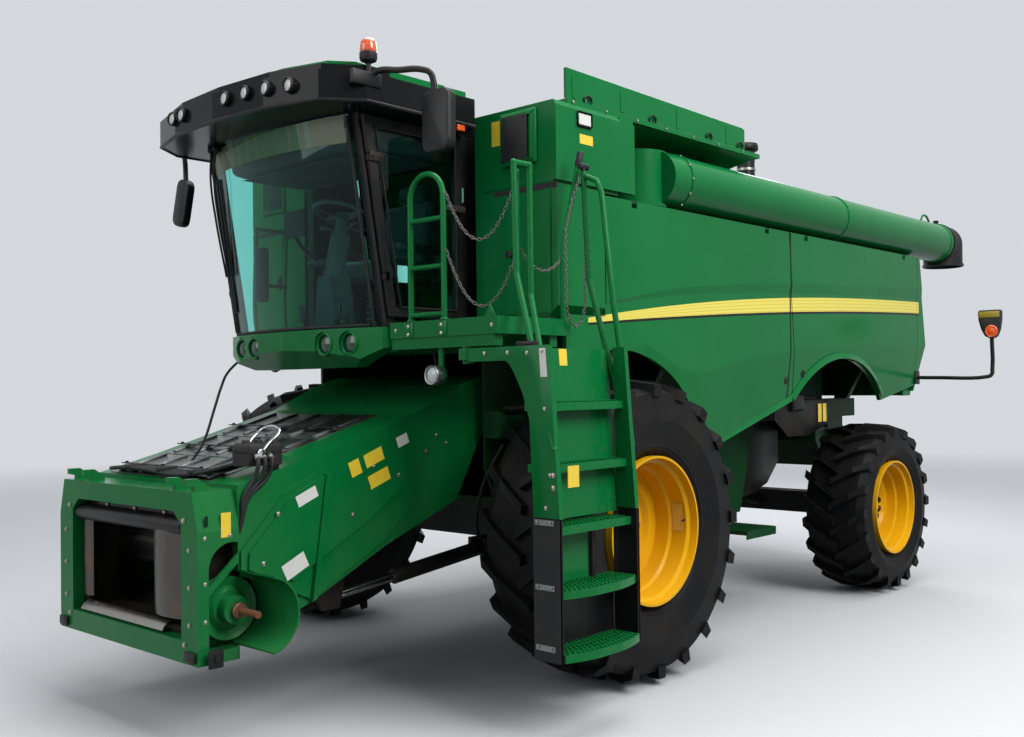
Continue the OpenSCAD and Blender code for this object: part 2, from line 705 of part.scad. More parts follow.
module ladder() color(green) placed() {
    yz(ladder_x1 - 30, ladder_x1) polygon([[1985, flap_top], [1924, ladder_top],
        [pivot_y + 40, ladder_top], [pivot_y + 40, ladder_top - 70], [1640, ladder_top - 70],
        [1730, 1800], [1790, 1700], [1834, 1565], [1864, flap_top]]);
    yz(ladder_x0, ladder_x0 + 30) polygon([[1985, flap_top], [1924, ladder_top],
        [1850, ladder_top], [1864, flap_top]]);
    for (x = [ladder_x0 + 10, ladder_x1 - 20])
        yz(x, x + 10) polygon([[1860, 400], [1984, 400], [1984, flap_top + 20],
            [1866, flap_top + 20]]);
    yz(ladder_x0 + 10, ladder_x1 - 10) polygon([[1850, flap_top - 20], [1862, flap_top - 20],
        [1830, 1500], [1800, ladder_top - 10], [1788, ladder_top - 10], [1818, 1500]]);
    for (i = [0:step_count - 1]) ladder_step(step_z0 + i * step_rise, i < 2);
    difference() {
        union() {
            block([pivot_x - 30, pivot_y, 1870], [pivot_x + 30, 1680, ladder_top]);
            translate([pivot_x, pivot_y, 1870]) cylinder(h=ladder_top - 1870, r=pivot_r + 20);
        }
        translate([pivot_x, pivot_y, 1869]) cylinder(h=ladder_top - 1868, r=pivot_r + seat_gap);
    }
    front_rail_x = ladder_x1 - 6;    // the rails' feet sit across the plates' outer faces
    rear_rail_x = ladder_x0 + 6;
    bent([[front_rail_x, 1950, 1420], [1130, 1660, 2300], [1120, 1640, 2870],
        [1000, 1640, 2870], [1000, 1640, 2200], [1110, 1830, 1740],
        [front_rail_x, 1862, 1680]], rail_r);
    bent([[rear_rail_x, 1940, 1420], [rear_rail_x, 1680, 2300],
        [rear_rail_x - 12, 1640, 2900]], rail_r);
}

// A step with its top at z; the lowest ones have a round front.
module ladder_step(z, is_round) {
    mid = (ladder_x0 + ladder_x1) / 2;
    front = 1985 - (z - step_z0) * 0.06;
    block([ladder_x0 + 15, front - 160, z - 40], [ladder_x1 - 15, front, z]);
    if (is_round) intersection() {
        translate([mid, front - 735, z - 40]) cylinder(h=40, r=800);
        block([ladder_x0 + 15, front - 10, z - 41], [ladder_x1 - 15, front + 60, z + 1]);
    }
}

// Feeder house

module feeder_side(t) {
    polygon([[face_x - 230, 1260], [1790, 1350], [940, 1590], [600, 1740], [420, 1800],
        [230, 1780], [230, 1640], [330, 1600], [640, 1060], [1200, 850], [1700, 620],
        [face_x - 230, face_z0 + 60]]);
}

cover_outline = [
    [2141, 934], [2142, 812], [1997, 756], [1834, 690], [1712, 631], [1221, 881], [977, 1087],
    [1025, 1530], [1454, 1380], [1784, 1245], [1880, 1200]
];
cover_face = [
    [2100, 920], [2105, 840], [1990, 790], [1834, 751], [1710, 816], [1334, 1011], [1085, 1167],
    [1060, 1480], [1454, 1345], [1784, 1210], [1863, 1165]
];

module feeder_house() color(green) placed() difference() {
    union() {
        xz(-feeder_y, feeder_y) feeder_side(0);
        both_sides() {
            for (y = [cyl_y - 56, cyl_y + 36])
                xz(y, y + 20) polygon([[1380, 790], [1440, 530], [1560, 530], [1640, 680]]);
            xz(feeder_y - 1, feeder_y + 14) polygon(cover_outline);
            xz(feeder_y - 1, feeder_y + 28) polygon(cover_face);
            xz(feeder_y - 1, feeder_y + 42) polygon([[1602, 1290], [1632, 1280], [1730, 625],
                [1698, 640]]);
            difference() {
                cross_bar(drive_x, drive_z, feeder_y - 1, shield_y, shield_r);
                cross_bar(drive_x, drive_z, feeder_y - 2, shield_y + 1, shield_r - 10);
                block([face_x - 231, feeder_y - 2, 0], [drive_x + 300, shield_y + 1, 2000]);
            }
        }
    }
    intersection() {
        xz(-feeder_y + sheet, feeder_y - sheet) polygon([[face_x - 229, 1230], [1780, 1320],
            [930, 1560], [590, 1710], [415, 1765], [200, 1760], [200, 1660], [350, 1640],
            [660, 1085], [1210, 875], [1710, 645], [face_x - 229, face_z0 + 90]]);
        union() {
            block([0, -feeder_y, 0], [1950, feeder_y, 2000]);
            block([1900, -drive_wall_y, 0], [face_x, drive_wall_y, 2000]);
        }
    }
    both_sides()
        cross_bar(drive_x, drive_z, drive_wall_y + sheet, feeder_y + 1, shield_r - 10);
    cross_bar(lift_x, lift_z, -feeder_y - 1, feeder_y + 1, lift_pin_r + seat_gap);
}

module feeder_face() color(green) placed() {
    difference() {
        union() {
            yz(face_x - 230, face_x) polygon([[-720, face_z0], [720, face_z0], [720, 1050],
                [670, face_z1], [-670, face_z1], [-720, 1050]]);
            cross_bar(face_x - 70, face_z0 + 35, -750, 750, 24);
        }
        yz(face_x - 231, face_x + 1) polygon([[-500, 560], [500, 560], [500, 1100], [-500, 1100]]);
        yz(face_x - 70, face_x + 1) polygon([[-570, 520], [570, 520], [570, 1080], [500, 1140],
            [-500, 1140], [-570, 1080]]);
        both_sides() {
            block([face_x - 231, drive_wall_y + 10, face_z0 + 60], [face_x - 20, 700, 1000]);
            cross_bar(drive_x, drive_z, drive_wall_y - 30, drive_wall_y + 11, journal_r + seat_gap);
            cross_bar(face_x - 190, 857, 699, 800, 130);
            block([face_x - 320, 699, face_z0 + 60], [face_x - 60, 800, 857]);
        }
    }
    both_sides() {
        for (y = [430, 600]) xz(y, y + 30) polygon([[face_x - 120, face_z1 - 20],
            [face_x - 120, face_z1 + 20], [face_x - 60, face_z1 + 60], [face_x, face_z1 + 60],
            [face_x, face_z1 + 30], [face_x - 40, face_z1 + 20], [face_x - 40, face_z1 - 20]]);
        xz(702, 718) polygon([[face_x - 230, 930], [face_x - 230, 885], [face_x - 59, 735],
            [face_x - 59, 780]]);
    }
}

module feeder_conveyor() color(grey) placed() {
    cross_bar(1900, 900, -580, 580, 160);
    cross_bar(1900, 900, -feeder_y + sheet, feeder_y - sheet, 30);
    for (a = [0:45:315]) translate([1900, 0, 900]) rotate([0, a, 0])
        block([150, -580, -15], [185, 580, 15]);
}

stub_y0 = 800;         // where the shaft's free end begins
stub_length = 140;
drive_x = 2190;
drive_z = 660;
sheave_r = 155;
drive_wall_y = 590;    // inner face of the wall that carries the drive shaft
journal_r = 22;        // the shaft's end that turns in that wall
shield_r = 190;
shield_y = 1010;

module header_drive() color(grey) placed() {
    translate([drive_x, 0, drive_z]) rotate([-90, 0, 0]) rotate_extrude() polygon([
        [0, drive_wall_y + 2], [journal_r, drive_wall_y + 2], [journal_r, 620], [90, 620],
        [100, 638], [sheave_r - 20, 638], [sheave_r, 630], [sheave_r - 35, 660],
        [sheave_r, 690], [sheave_r - 20, 682], [110, 675], [90, 696], [70, 696], [70, 760],
        [34, 760], [34, stub_y0], [stub_r, stub_y0], [stub_r, stub_y0 + stub_length],
        [0, stub_y0 + stub_length]]);
}

module coupler() color(black) placed() {
    // Hydraulic multi-coupler on the left
    block([1880, 560, 1345], [2080, 705, 1450]);
    block([1890, 600, 1325.5], [1920, 690, 1346]);
    // Tube across the top of the mouth
    cross_bar(face_x - 110, 1060, -500, 500, 28);
}

lift_base = [250, 0, 720];
lift_eye = [1500, 0, 580];
cyl_y = 550;

module lift_barrels() color(black) placed() both_sides() {
    v = lift_eye - lift_base;
    u = v / norm(v);
    translate([0, cyl_y, 0]) difference() {
        union() {
            bar(lift_base + u * 40, lift_base + u * 760, 45);
            cross_bar(lift_base[0], lift_base[2], -46, 46, 55);
        }
        bar(lift_base + u * 80, lift_base + u * 761, 25 + seat_gap);
        cross_bar(lift_base[0], lift_base[2], -47, 47, 25 + seat_gap);
    }
}

module lift_rods() color("silver") placed() both_sides() {
    v = lift_eye - lift_base;
    u = v / norm(v);
    translate([0, cyl_y, 0]) {
        bar(lift_base + u * 500, lift_eye - u * 40, 25);
        cross_bar(lift_eye[0], lift_eye[2], -30, 30, 50);
    }
}

// Axles, wheels

module front_axle() color(black) placed() {
    block([-130, -1000, 760], [130, 1000, 1010]);
    both_sides() {
        cross_bar(0, front_r, 1000, 1180, 200);
        cross_bar(0, front_r, 1180, front_y + 60, 90);
        block([130, cyl_y - 90, 640], [190, cyl_y + 90, 900]);
        for (y = [cyl_y - 76, cyl_y + 48])
            block([190, y, 660], [310, y + 28, 780]);
        cross_bar(lift_base[0], lift_base[2], cyl_y - 76, cyl_y + 76, 25);
    }
}

module rear_axle() color(black) placed() {
    x = -wheelbase;
    block([x - 90, -900, rear_r - 90], [x + 90, 900, rear_r + 90]);
    block([x - 110, -220, rear_r + 90], [x + 110, 220, 1310]);
    block([x - 110, -chassis_y1, 1310], [x + 110, chassis_y1, chassis_z0]);
    both_sides() {
        for (z = [rear_r - 130, rear_r + 90])
            block([x - 60, 880, z], [x + 60, kingpin_y + 60, z + 40]);
    }
    // Steering cylinder along the beam
    cross_bar(x + 135, rear_r, -420, 420, 40);
    for (y = [-300, 240]) block([x + 90, y, rear_r - 50], [x + 150, y + 60, rear_r + 50]);
}

module knuckle() {
    translate([-wheelbase, kingpin_y, rear_r - 89.7]) cylinder(h=179.4, r=60);
    cross_bar(-wheelbase, rear_r, kingpin_y, rear_y + 60, 60);
}

module knuckle_left() color(black) placed() knuckle();
module knuckle_right() color(black) placed() mirror([0, 1, 0]) knuckle();

// Point at an angle from the top, a radius and a distance across, round a wheel's axis.
function round_point(angle, r, y) = [r * sin(angle), y, r * cos(angle)];

// One lug: three stations from the tyre's middle to its side.
module lug(r, w, lead) {
    stations = [
        // angle, bottom radius, top radius, distance across, half width
        [lead, r - lug_h - 30, r, -0.03 * w, lug_half_w],
        [lead * 0.42, r - lug_h - 40, r - 6, 0.27 * w, lug_half_w],
        [0, r - lug_h - 60, r - 40, 0.49 * w, lug_half_w + 6]
    ];
    points = [for (s = stations) let (a = s[4] / s[2] * 180 / PI)
        each [round_point(s[0] - a * 1.3, s[1], s[3]), round_point(s[0] + a * 1.3, s[1], s[3]),
              round_point(s[0] + a, s[2], s[3]), round_point(s[0] - a, s[2], s[3])]];
    loft(points, 4);
}

module tyre(r, w, bead_r) {
    rotate([90, 0, 0]) rotate_extrude() polygon([
        [bead_r, -0.36 * w], [bead_r + 60, -0.44 * w], [0.72 * r, -w / 2 + 4],
        [r - lug_h - 40, -0.46 * w], [r - lug_h - 8, -0.36 * w], [r - lug_h, 0],
        [r - lug_h - 8, 0.36 * w], [r - lug_h - 40, 0.46 * w], [0.72 * r, w / 2 - 4],
        [bead_r + 60, 0.44 * w], [bead_r, 0.36 * w]]);
    for (i = [0:lug_count - 1]) {
        rotate([0, i * 360 / lug_count, 0]) lug(r, w, lug_lead);
        rotate([0, (i + 0.5) * 360 / lug_count, 0]) mirror([0, 1, 0]) lug(r, w, lug_lead);
    }
}

module front_tyre() translate([0, front_y, front_r]) tyre(front_r, front_w, front_lip_r - 8);
module rear_tyre() translate([-wheelbase, rear_y, rear_r]) tyre(rear_r, rear_w, rear_lip_r - 8);
module tyre_front_left() color(black) placed() front_tyre();
module tyre_front_right() color(black) placed() mirror([0, 1, 0]) front_tyre();
module tyre_rear_left() color(black) placed() rear_tyre();
module tyre_rear_right() color(black) placed() mirror([0, 1, 0]) rear_tyre();

// Rim: barrel, dished disc and hub, open to the outside.
module rim(lip_r, w, dish, hub_r, bore_r) {
    lip = 0.46 * w;
    step_r = lip_r - 70;    // where the well's wall meets the dish
    ring_r = 0.6 * lip_r;   // pressed ring on the dish
    rotate([-90, 0, 0]) rotate_extrude() polygon([
        [bore_r, dish - 15], [hub_r, dish - 15], [hub_r + 20, dish - 55], [ring_r, dish - 55],
        [ring_r + 25, dish - 20], [step_r - 20, dish - 20],
        [lip_r - 50, -0.36 * w], [lip_r - 8.3, -0.36 * w], [lip_r - 8.3, 0.385 * w],
        [lip_r, 0.39 * w], [lip_r, lip], [lip_r - 14, lip], [lip_r - 22, 0.39 * w],
        [lip_r - 44, 0.37 * w], [lip_r - 52, 0.22 * w], [step_r, 0.2 * w], [step_r - 10, dish],
        [ring_r + 20, dish], [ring_r - 5, dish - 35], [hub_r + 30, dish - 35], [hub_r, dish + 5],
        [bore_r, dish + 5]]);
}

module front_rim() translate([0, front_y, front_r]) rim(front_lip_r, front_w, 40, 200, 90.3);
module rear_rim() translate([-wheelbase, rear_y, rear_r]) rim(rear_lip_r, rear_w, 40, 150, 60.3);
module rim_front_left() color(yellow) placed() front_rim();
module rim_front_right() color(yellow) placed() mirror([0, 1, 0]) front_rim();
module rim_rear_left() color(yellow) placed() rear_rim();
module rim_rear_right() color(yellow) placed() mirror([0, 1, 0]) rear_rim();

// Mirrors and lamps

module mirrors() color(black) placed() {
    bent([[1450, 950, 3300], [1450, 1050, 3300], [1330, 1300, 3300], [1330, 1300, 3250]], 14);
    block([1290, 1200, 2960], [1350, 1400, 3250]);
    bent([[1450, -950, 3300], [1450, -1050, 3300], [1270, -1250, 3290], [1270, -1250, 3165]], 14);
    block([1240, -1330, 2840], [1300, -1170, 3170]);
}

module lamps() color("orange") placed() {
    translate([1450, 932, roof_z + roof_band]) cylinder(h=110, r=14);
    translate([1450, 932, roof_z + roof_band + 110]) cylinder(h=150, r=58);
}

lamp_foot_y = side_y - ledge - side_slope * (bulge_z - 1760) + 3;

module rear_lamp_arms() color(black) placed() both_sides() {
    x = rear_x + 20;
    bent([[x, lamp_foot_y, 1760], [x, 2090, 1760], [x, 2090, 2200]], 18);
    block([x - 30, 2010, 2060], [x + 30, 2170, 2340]);
}

frame();
side_frame();
separator();
front_cabinets();
grain_tank();
tank_flap_left();
tank_flap_right();
engine();
engine_cover();
exhaust();
rear_hood();
chopper_housing();
chopper_rotor();
tailboard();
panel_front_left();
panel_rear_left();
panel_front_right();
panel_rear_right();
cab_base();
cab_frame();
cab_roof();
windscreen();
cab_glass();
door();
door_glass();
seat();
controls();
platform();
handrails();
ladder();
feeder_house();
feeder_face();
feeder_conveyor();
header_drive();
coupler();
lift_barrels();
lift_rods();
front_axle();
rear_axle();
knuckle_left();
knuckle_right();
tyre_front_left();
tyre_front_right();
tyre_rear_left();
tyre_rear_right();
rim_front_left();
rim_front_right();
rim_rear_left();
rim_rear_right();
auger_turret();
auger_tube();
auger_spout();
mirrors();
lamps();
rear_lamp_arms();
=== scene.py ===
import math

import bpy
from mathutils import Matrix, Vector


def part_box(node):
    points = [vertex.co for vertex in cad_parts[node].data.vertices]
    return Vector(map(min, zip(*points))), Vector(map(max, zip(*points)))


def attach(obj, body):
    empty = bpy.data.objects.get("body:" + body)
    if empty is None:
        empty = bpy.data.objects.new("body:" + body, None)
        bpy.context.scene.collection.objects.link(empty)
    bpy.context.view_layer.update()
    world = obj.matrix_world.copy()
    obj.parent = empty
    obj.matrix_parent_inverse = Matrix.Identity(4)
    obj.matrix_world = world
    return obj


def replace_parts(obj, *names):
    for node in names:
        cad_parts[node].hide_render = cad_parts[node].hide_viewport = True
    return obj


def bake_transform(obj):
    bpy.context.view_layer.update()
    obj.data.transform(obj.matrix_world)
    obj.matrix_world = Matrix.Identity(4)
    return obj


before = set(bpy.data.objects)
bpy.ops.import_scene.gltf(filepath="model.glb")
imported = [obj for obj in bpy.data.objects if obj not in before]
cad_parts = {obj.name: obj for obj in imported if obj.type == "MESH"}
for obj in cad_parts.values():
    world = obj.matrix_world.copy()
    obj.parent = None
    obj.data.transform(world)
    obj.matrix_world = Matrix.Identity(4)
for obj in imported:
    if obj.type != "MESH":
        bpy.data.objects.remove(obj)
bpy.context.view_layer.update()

bl_info = {
    "name": "Combine harvester looks",
    "version": (1, 0, 0),
    "blender": (4, 5, 0),
    "location": "3D View > Sidebar > Harvester",
    "description": "Dresses the packed combine harvester with its finishes, fittings, studio and camera",
    "category": "Object",
}

FRONT_WHEEL = (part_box("tyre_front_left")[0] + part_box("tyre_front_left")[1]) / 2
REAR_WHEEL = (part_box("tyre_rear_left")[0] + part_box("tyre_rear_left")[1]) / 2
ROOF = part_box("cab_roof")
SIDES = ((1, "left"), (-1, "right"))


def at(x, y, z):
    """A point given from the front axle's middle on the ground, in the frame."""
    return Vector((FRONT_WHEEL.x + x, y, z))


# Shader maths


class Value:
    """A socket that carries a number, with arithmetic that adds Math nodes."""

    def __init__(self, finish, socket):
        self.finish = finish
        self.socket = socket

    def _math(self, operation, *others, clamp=False):
        node = self.finish.node(
            "ShaderNodeMath", {"operation": operation, "use_clamp": clamp}, {0: self}
        )
        for index, other in enumerate(others, 1):
            self.finish.feed(node.inputs[index], other)
        return Value(self.finish, node.outputs[0])

    def _flipped(self, operation, other):
        node = self.finish.node("ShaderNodeMath", {"operation": operation}, {0: other, 1: self})
        return Value(self.finish, node.outputs[0])

    def __add__(self, other):
        return self._math("ADD", other)

    def __radd__(self, other):
        return self._math("ADD", other)

    def __sub__(self, other):
        return self._math("SUBTRACT", other)

    def __rsub__(self, other):
        return self._flipped("SUBTRACT", other)

    def __mul__(self, other):
        return self._math("MULTIPLY", other)

    def __rmul__(self, other):
        return self._math("MULTIPLY", other)

    def __truediv__(self, other):
        return self._math("DIVIDE", other)

    def __rtruediv__(self, other):
        return self._flipped("DIVIDE", other)

    def __neg__(self):
        return self._math("MULTIPLY", -1.0)

    def __gt__(self, other):
        return self._math("GREATER_THAN", other)

    def __lt__(self, other):
        return self._math("LESS_THAN", other)

    def sine(self):
        return self._math("SINE")

    def root(self):
        return self._math("SQRT")

    def size(self):
        return self._math("ABSOLUTE")

    def clamped(self):
        return self._math("ADD", 0.0, clamp=True)

    def larger(self, other):
        return self._math("MAXIMUM", other)

    def between(self, low, high):
        """1 where this lies between low and high, 0 elsewhere."""
        return (self > low) * (self < high)

    def ramp(self, start, end):
        """0 below start, 1 above end, straight between."""
        return ((self - start) * (1.0 / (end - start))).clamped()


SHADER_SOCKETS = {
    "colour": "Base Color", "rough": "Roughness", "metal": "Metallic", "coat": "Coat Weight",
    "coat_rough": "Coat Roughness", "ior": "IOR", "sheen": "Sheen Weight",
    "specular": "Specular IOR Level", "transmission": "Transmission Weight",
}


class Finish:
    """One material: its shader and the nodes that vary it."""

    def __init__(self, name):
        self.material = bpy.data.materials.new(name)
        self.material.use_nodes = True
        self.tree = self.material.node_tree
        self.shader = self.tree.nodes["Principled BSDF"]
        self._place = None

    def feed(self, socket, value):
        if isinstance(value, Value):
            self.tree.links.new(value.socket, socket)
        elif isinstance(value, bpy.types.NodeSocket):
            self.tree.links.new(value, socket)
        else:
            socket.default_value = value

    def node(self, kind, settings=None, inputs=None):
        """Adds a node of a kind: its settings first, then the values or links of its sockets."""
        node = self.tree.nodes.new(kind)
        for key, value in (settings or {}).items():
            setattr(node, key, value)
        for key, value in (inputs or {}).items():
            self.feed(node.inputs[key], value)
        return node

    def coordinates(self):
        if self._place is None:
            self._place = self.node("ShaderNodeTexCoord").outputs["Object"]
        return self._place

    def xyz(self):
        """The place along the machine from the front axle, across it, and above the ground."""
        parts = self.node("ShaderNodeSeparateXYZ", None, {0: self.coordinates()}).outputs
        return Value(self, parts[0]) - FRONT_WHEEL.x, Value(self, parts[1]), Value(self, parts[2])

    def noise(self, scale, detail=3.0, rough=0.55, stretch=None):
        place = self.coordinates()
        if stretch:
            place = self.node("ShaderNodeMapping", None, {0: place, "Scale": stretch}).outputs[0]
        node = self.node(
            "ShaderNodeTexNoise",
            None,
            {"Vector": place, "Scale": scale, "Detail": detail, "Roughness": rough},
        )
        return Value(self, node.outputs[0])

    def mix(self, factor, first, second):
        """One colour passing into another."""
        node = self.node("ShaderNodeMix", {"data_type": "RGBA"})
        self.feed(node.inputs[0], factor)
        self.feed(node.inputs[6], first)
        self.feed(node.inputs[7], second)
        return node.outputs[2]

    def bump(self, height, strength, distance=0.001):
        node = self.node(
            "ShaderNodeBump", None, {"Strength": strength, "Distance": distance, "Height": height}
        )
        self.tree.links.new(node.outputs[0], self.shader.inputs["Normal"])

    def set(self, **values):
        for key, value in values.items():
            self.feed(self.shader.inputs[SHADER_SOCKETS[key]], value)


def rgb(colour, factor=1.0):
    return (colour[0] * factor, colour[1] * factor, colour[2] * factor, 1.0)


def curve_of(value, factors):
    """A polynomial of a value, its factors from the constant upwards."""
    total = value * factors[-1]
    for factor in factors[-2:0:-1]:
        total = (total + factor) * value
    return total + factors[0]


# Finishes of the harvester

DUST = (0.21, 0.165, 0.10)
PALE = (0.66, 0.69, 0.72, 1)
MATT_BLACK = (0.008, 0.008, 0.009)
# Header drive: its axis ahead of the front axle and above the ground, the shaft's radius with play
DRIVE_X, DRIVE_Z, SHAFT_R = 2.19, 0.66, 0.0352
# Roof: heights below its top where the black sides end and where the brow's wall ends
VISOR_DROP, BROW_DROP, BROW_X = 0.092, 0.047, 1.3
# Stripe edges as polynomials of the distance behind the front axle
STRIPE_TOP = (2.1602, 0.1327, -0.0215, 0.00128)
STRIPE_FOOT = (2.1147, 0.0795, -0.0068, 0.00004)
SHADOW_FOOT = (2.0992, 0.0775, -0.0062, -0.00004)


def stripe(x, y, z):
    """The yellow band along the sides, its thin lines and the painted shadow line under it."""
    back = -x
    top, foot = curve_of(back, STRIPE_TOP), curve_of(back, STRIPE_FOOT)
    side = back.between(-0.30, 4.485) * (y.size() > 1.38)
    band = (z > foot) * (z < top) * side
    lines = ((z - foot) / (top - foot) * 25.1).sine().ramp(0.82, 0.95)
    shadow = (z > curve_of(back, SHADOW_FOOT)) * (z < foot) * side
    return [
        (band, (0.70, 0.60, 0.115, 1)), (band * lines, (0.50, 0.39, 0.04, 1)),
        (shadow, (0.010, 0.014, 0.010, 1)),
    ]


def visor(x, y, z):
    """The roof's black sides and underside, and the black brow that rises above the lamps."""
    brow = (z < ROOF[1].z - BROW_DROP) * (x > BROW_X)
    return [((z < ROOF[1].z - VISOR_DROP).larger(brow), (0.006, 0.006, 0.007, 1))]


def mouth(x, y, z):
    """The feeder's inside, painted near black as shade inside its recess."""
    # painted shade: the recess of the feeder house
    inside = (y.size() < 0.66) * z.between(0.50, 1.165) * x.between(1.30, 2.3115)
    return [(inside, (0.010, 0.009, 0.008, 1))]


def bare_shaft(x, y, z):
    """The rusted end of the shaft that drives a header."""
    dx, dz = x - DRIVE_X, z - DRIVE_Z
    return [((dx * dx + dz * dz < SHAFT_R ** 2) * (y.size() > 0.752), (0.13, 0.055, 0.028, 1))]


def gloss_paint(name, colour, dust=0.12, patches=None):
    """Sprayed and clear-coated paint with field dust that thickens downwards."""
    paint = Finish(name)
    x, y, z = paint.xyz()
    cloud = paint.noise(1.7, 5.0)
    fine = paint.noise(38.0, 4.0, 0.7)
    low = 1.0 - z.ramp(0.3, 2.0)
    film = ((cloud - 0.42) * 2.2 + (fine - 0.5) * 0.6).clamped() * (low * 0.8 + 0.2) * dust
    tone = paint.mix(cloud.ramp(0.3, 0.7), rgb(colour, 0.93), rgb(colour, 1.07))
    for inside, other in patches(x, y, z) if patches else ():
        tone = paint.mix(inside, tone, other)
    paint.set(colour=paint.mix(film, tone, rgb(DUST)), rough=film * 0.5 + fine * 0.06 + 0.17)
    paint.set(specular=0.12)
    paint.bump(paint.noise(30.0, 1.0) + cloud, 0.03, 0.001)
    return paint.material


def worn_paint(name, colour, rough=0.45):
    """Satin chassis paint, dusty and rubbed through in small spots."""
    paint = Finish(name)
    x, y, z = paint.xyz()
    cloud = paint.noise(3.0, 6.0)
    chips = paint.noise(55.0, 3.0, 0.8).ramp(0.70, 0.74)
    film = (cloud - 0.40).clamped() * (1.0 - z.ramp(0.4, 2.6) * 0.7)
    tone = paint.mix(film.clamped() * 0.3, rgb(colour), rgb(DUST, 0.5))
    paint.set(colour=paint.mix(chips * 0.7, tone, (0.03, 0.027, 0.024, 1)))
    paint.set(rough=film * 0.4 + rough, metal=chips * 0.4, specular=0.15)
    paint.bump(cloud * 1.5 + paint.noise(120.0, 3.0), 0.12, 0.003)
    return paint.material


def bare_steel(name, colour=(0.42, 0.41, 0.39), rough=0.32, rust=0.35):
    """Steel rubbed bright, with brushed lines and thin rust."""
    steel = Finish(name)
    brushed = steel.noise(14.0, 4.0, 0.6, stretch=(1.0, 9.0, 9.0))
    patches = steel.noise(6.0, 6.0, 0.65).ramp(0.52, 0.68) * rust
    tone = steel.mix(brushed.ramp(0.35, 0.65), rgb(colour, 0.82), rgb(colour, 1.12))
    steel.set(colour=steel.mix(patches, tone, (0.16, 0.075, 0.03, 1)))
    steel.set(metal=1.0 - patches * 0.9, rough=brushed * 0.2 + patches * 0.4 + rough - 0.1)
    steel.bump(brushed, 0.08, 0.001)
    return steel.material


def moulded(name, colour=(0.022, 0.022, 0.024), rough=0.5, grain=220.0):
    """Moulded plastic or powder-coated black with a fine grain."""
    plastic = Finish(name)
    grains = plastic.noise(grain, 2.0)
    cloud = plastic.noise(4.0, 4.0)
    dusty = (cloud - 0.45).clamped() * 0.6
    plastic.set(colour=plastic.mix(dusty, rgb(colour), rgb(DUST, 0.45)))
    plastic.set(rough=dusty + grains * 0.1 + rough - 0.05, specular=0.22)
    plastic.bump(grains, 0.12, 0.0006)
    return plastic.material


def soft_rubber(name, colour=MATT_BLACK):
    """Hoses, seals and flaps: matt, with dust in its clouds."""
    rubber = Finish(name)
    cloud = rubber.noise(9.0, 5.0)
    rubber.set(colour=rubber.mix(cloud.ramp(0.45, 0.75) * 0.12, rgb(colour), rgb(DUST, 0.5)))
    rubber.set(rough=cloud * 0.2 + 0.5, specular=0.25)
    rubber.bump(rubber.noise(90.0, 3.0), 0.1, 0.001)
    return rubber.material


def tyre_rubber(name, centre, tread_r, bead_r):
    """Tyre rubber: rings moulded in the side wall, dust between the lugs and on the shoulders."""
    rubber = Finish(name)
    moved = rubber.node(
        "ShaderNodeMapping", None, {0: rubber.coordinates(), "Location": tuple(-centre)}
    )
    parts = rubber.node("ShaderNodeSeparateXYZ", None, {0: moved.outputs[0]}).outputs
    px, pz = Value(rubber, parts[0]), Value(rubber, parts[2])
    radius = (px * px + pz * pz).root()
    wall = radius.ramp(bead_r + 0.01, bead_r + 0.03) * (1.0 - radius.ramp(tread_r - 0.17, tread_r - 0.15))
    rings = (radius * 260.0).sine() * wall * radius.between(bead_r + 0.02, bead_r + 0.09)
    cloud = rubber.noise(5.0, 6.0, 0.65)
    speckle = rubber.noise(70.0, 4.0, 0.75)
    groove = 1.0 - radius.ramp(tread_r - 0.055, tread_r - 0.02)
    dusty = (cloud.ramp(0.42, 0.72) * 0.3 + speckle.ramp(0.5, 0.72) * 0.15) * (groove * 0.4 + 0.25)
    rubber.set(colour=rubber.mix(dusty.clamped(), (0.0035, 0.0036, 0.0045, 1), rgb(DUST, 0.22)))
    rubber.set(rough=dusty * 0.25 + 0.55, specular=0.12)
    rubber.bump(rings * 1.2 + speckle * 0.7 + cloud * 0.8, 0.5, 0.002)
    return rubber.material


def tinted_glass(name, colour):
    """Curved cab glass, a little dirty along its lower edge."""
    glass = Finish(name)
    x, y, z = glass.xyz()
    smear = glass.noise(2.4, 6.0, 0.6, stretch=(1.0, 1.0, 0.4)).ramp(0.5, 0.8)
    dusty = smear * 0.06 + (1.0 - z.ramp(2.1, 2.4)) * 0.05
    glass.set(colour=glass.mix(dusty, rgb(colour), rgb((0.45, 0.45, 0.40))), rough=dusty * 0.1)
    glass.set(transmission=1.0, ior=1.22)
    return glass.material


def lens(name, colour, ribs=420.0, coat=0.8):
    """A ribbed lamp lens."""
    cover = Finish(name)
    x, y, z = cover.xyz()
    lines = (y * ribs).sine() * 0.5 + (z * ribs).sine() * 0.5
    cover.set(colour=cover.mix(lines.ramp(-0.6, 0.9), rgb(colour, 0.72), rgb(colour, 1.05)))
    cover.set(rough=lines * 0.04 + 0.12, coat=coat, coat_rough=0.03)
    cover.bump(lines, 0.25, 0.002)
    return cover.material


def woven_cloth(name, colour):
    """Upholstery: crossing threads over a soft sheen."""
    cloth = Finish(name)
    x, y, z = cloth.xyz()
    warp, weft = (y * 1600.0).sine(), ((x + z) * 1600.0).sine()
    weave = warp * weft
    fleck = cloth.noise(180.0, 2.0)
    cloth.set(colour=cloth.mix(weave.ramp(-0.5, 0.8), rgb(colour, 0.75), rgb(colour, 1.2)))
    cloth.set(rough=fleck * 0.1 + 0.82, sheen=0.3)
    cloth.bump(weave + fleck, 0.35, 0.0008)
    return cloth.material


def sticker(name, colour, scuffed=DUST):
    """A blank film, scuffed in spots."""
    film = Finish(name)
    scuffs = film.noise(60.0, 4.0, 0.7).ramp(0.55, 0.75) * 0.35
    film.set(colour=film.mix(scuffs, rgb(colour), rgb(scuffed)))
    film.set(rough=scuffs * 0.5 + 0.3)
    film.bump(scuffs, 0.1, 0.0005)
    return film.material


FINISHES = {}


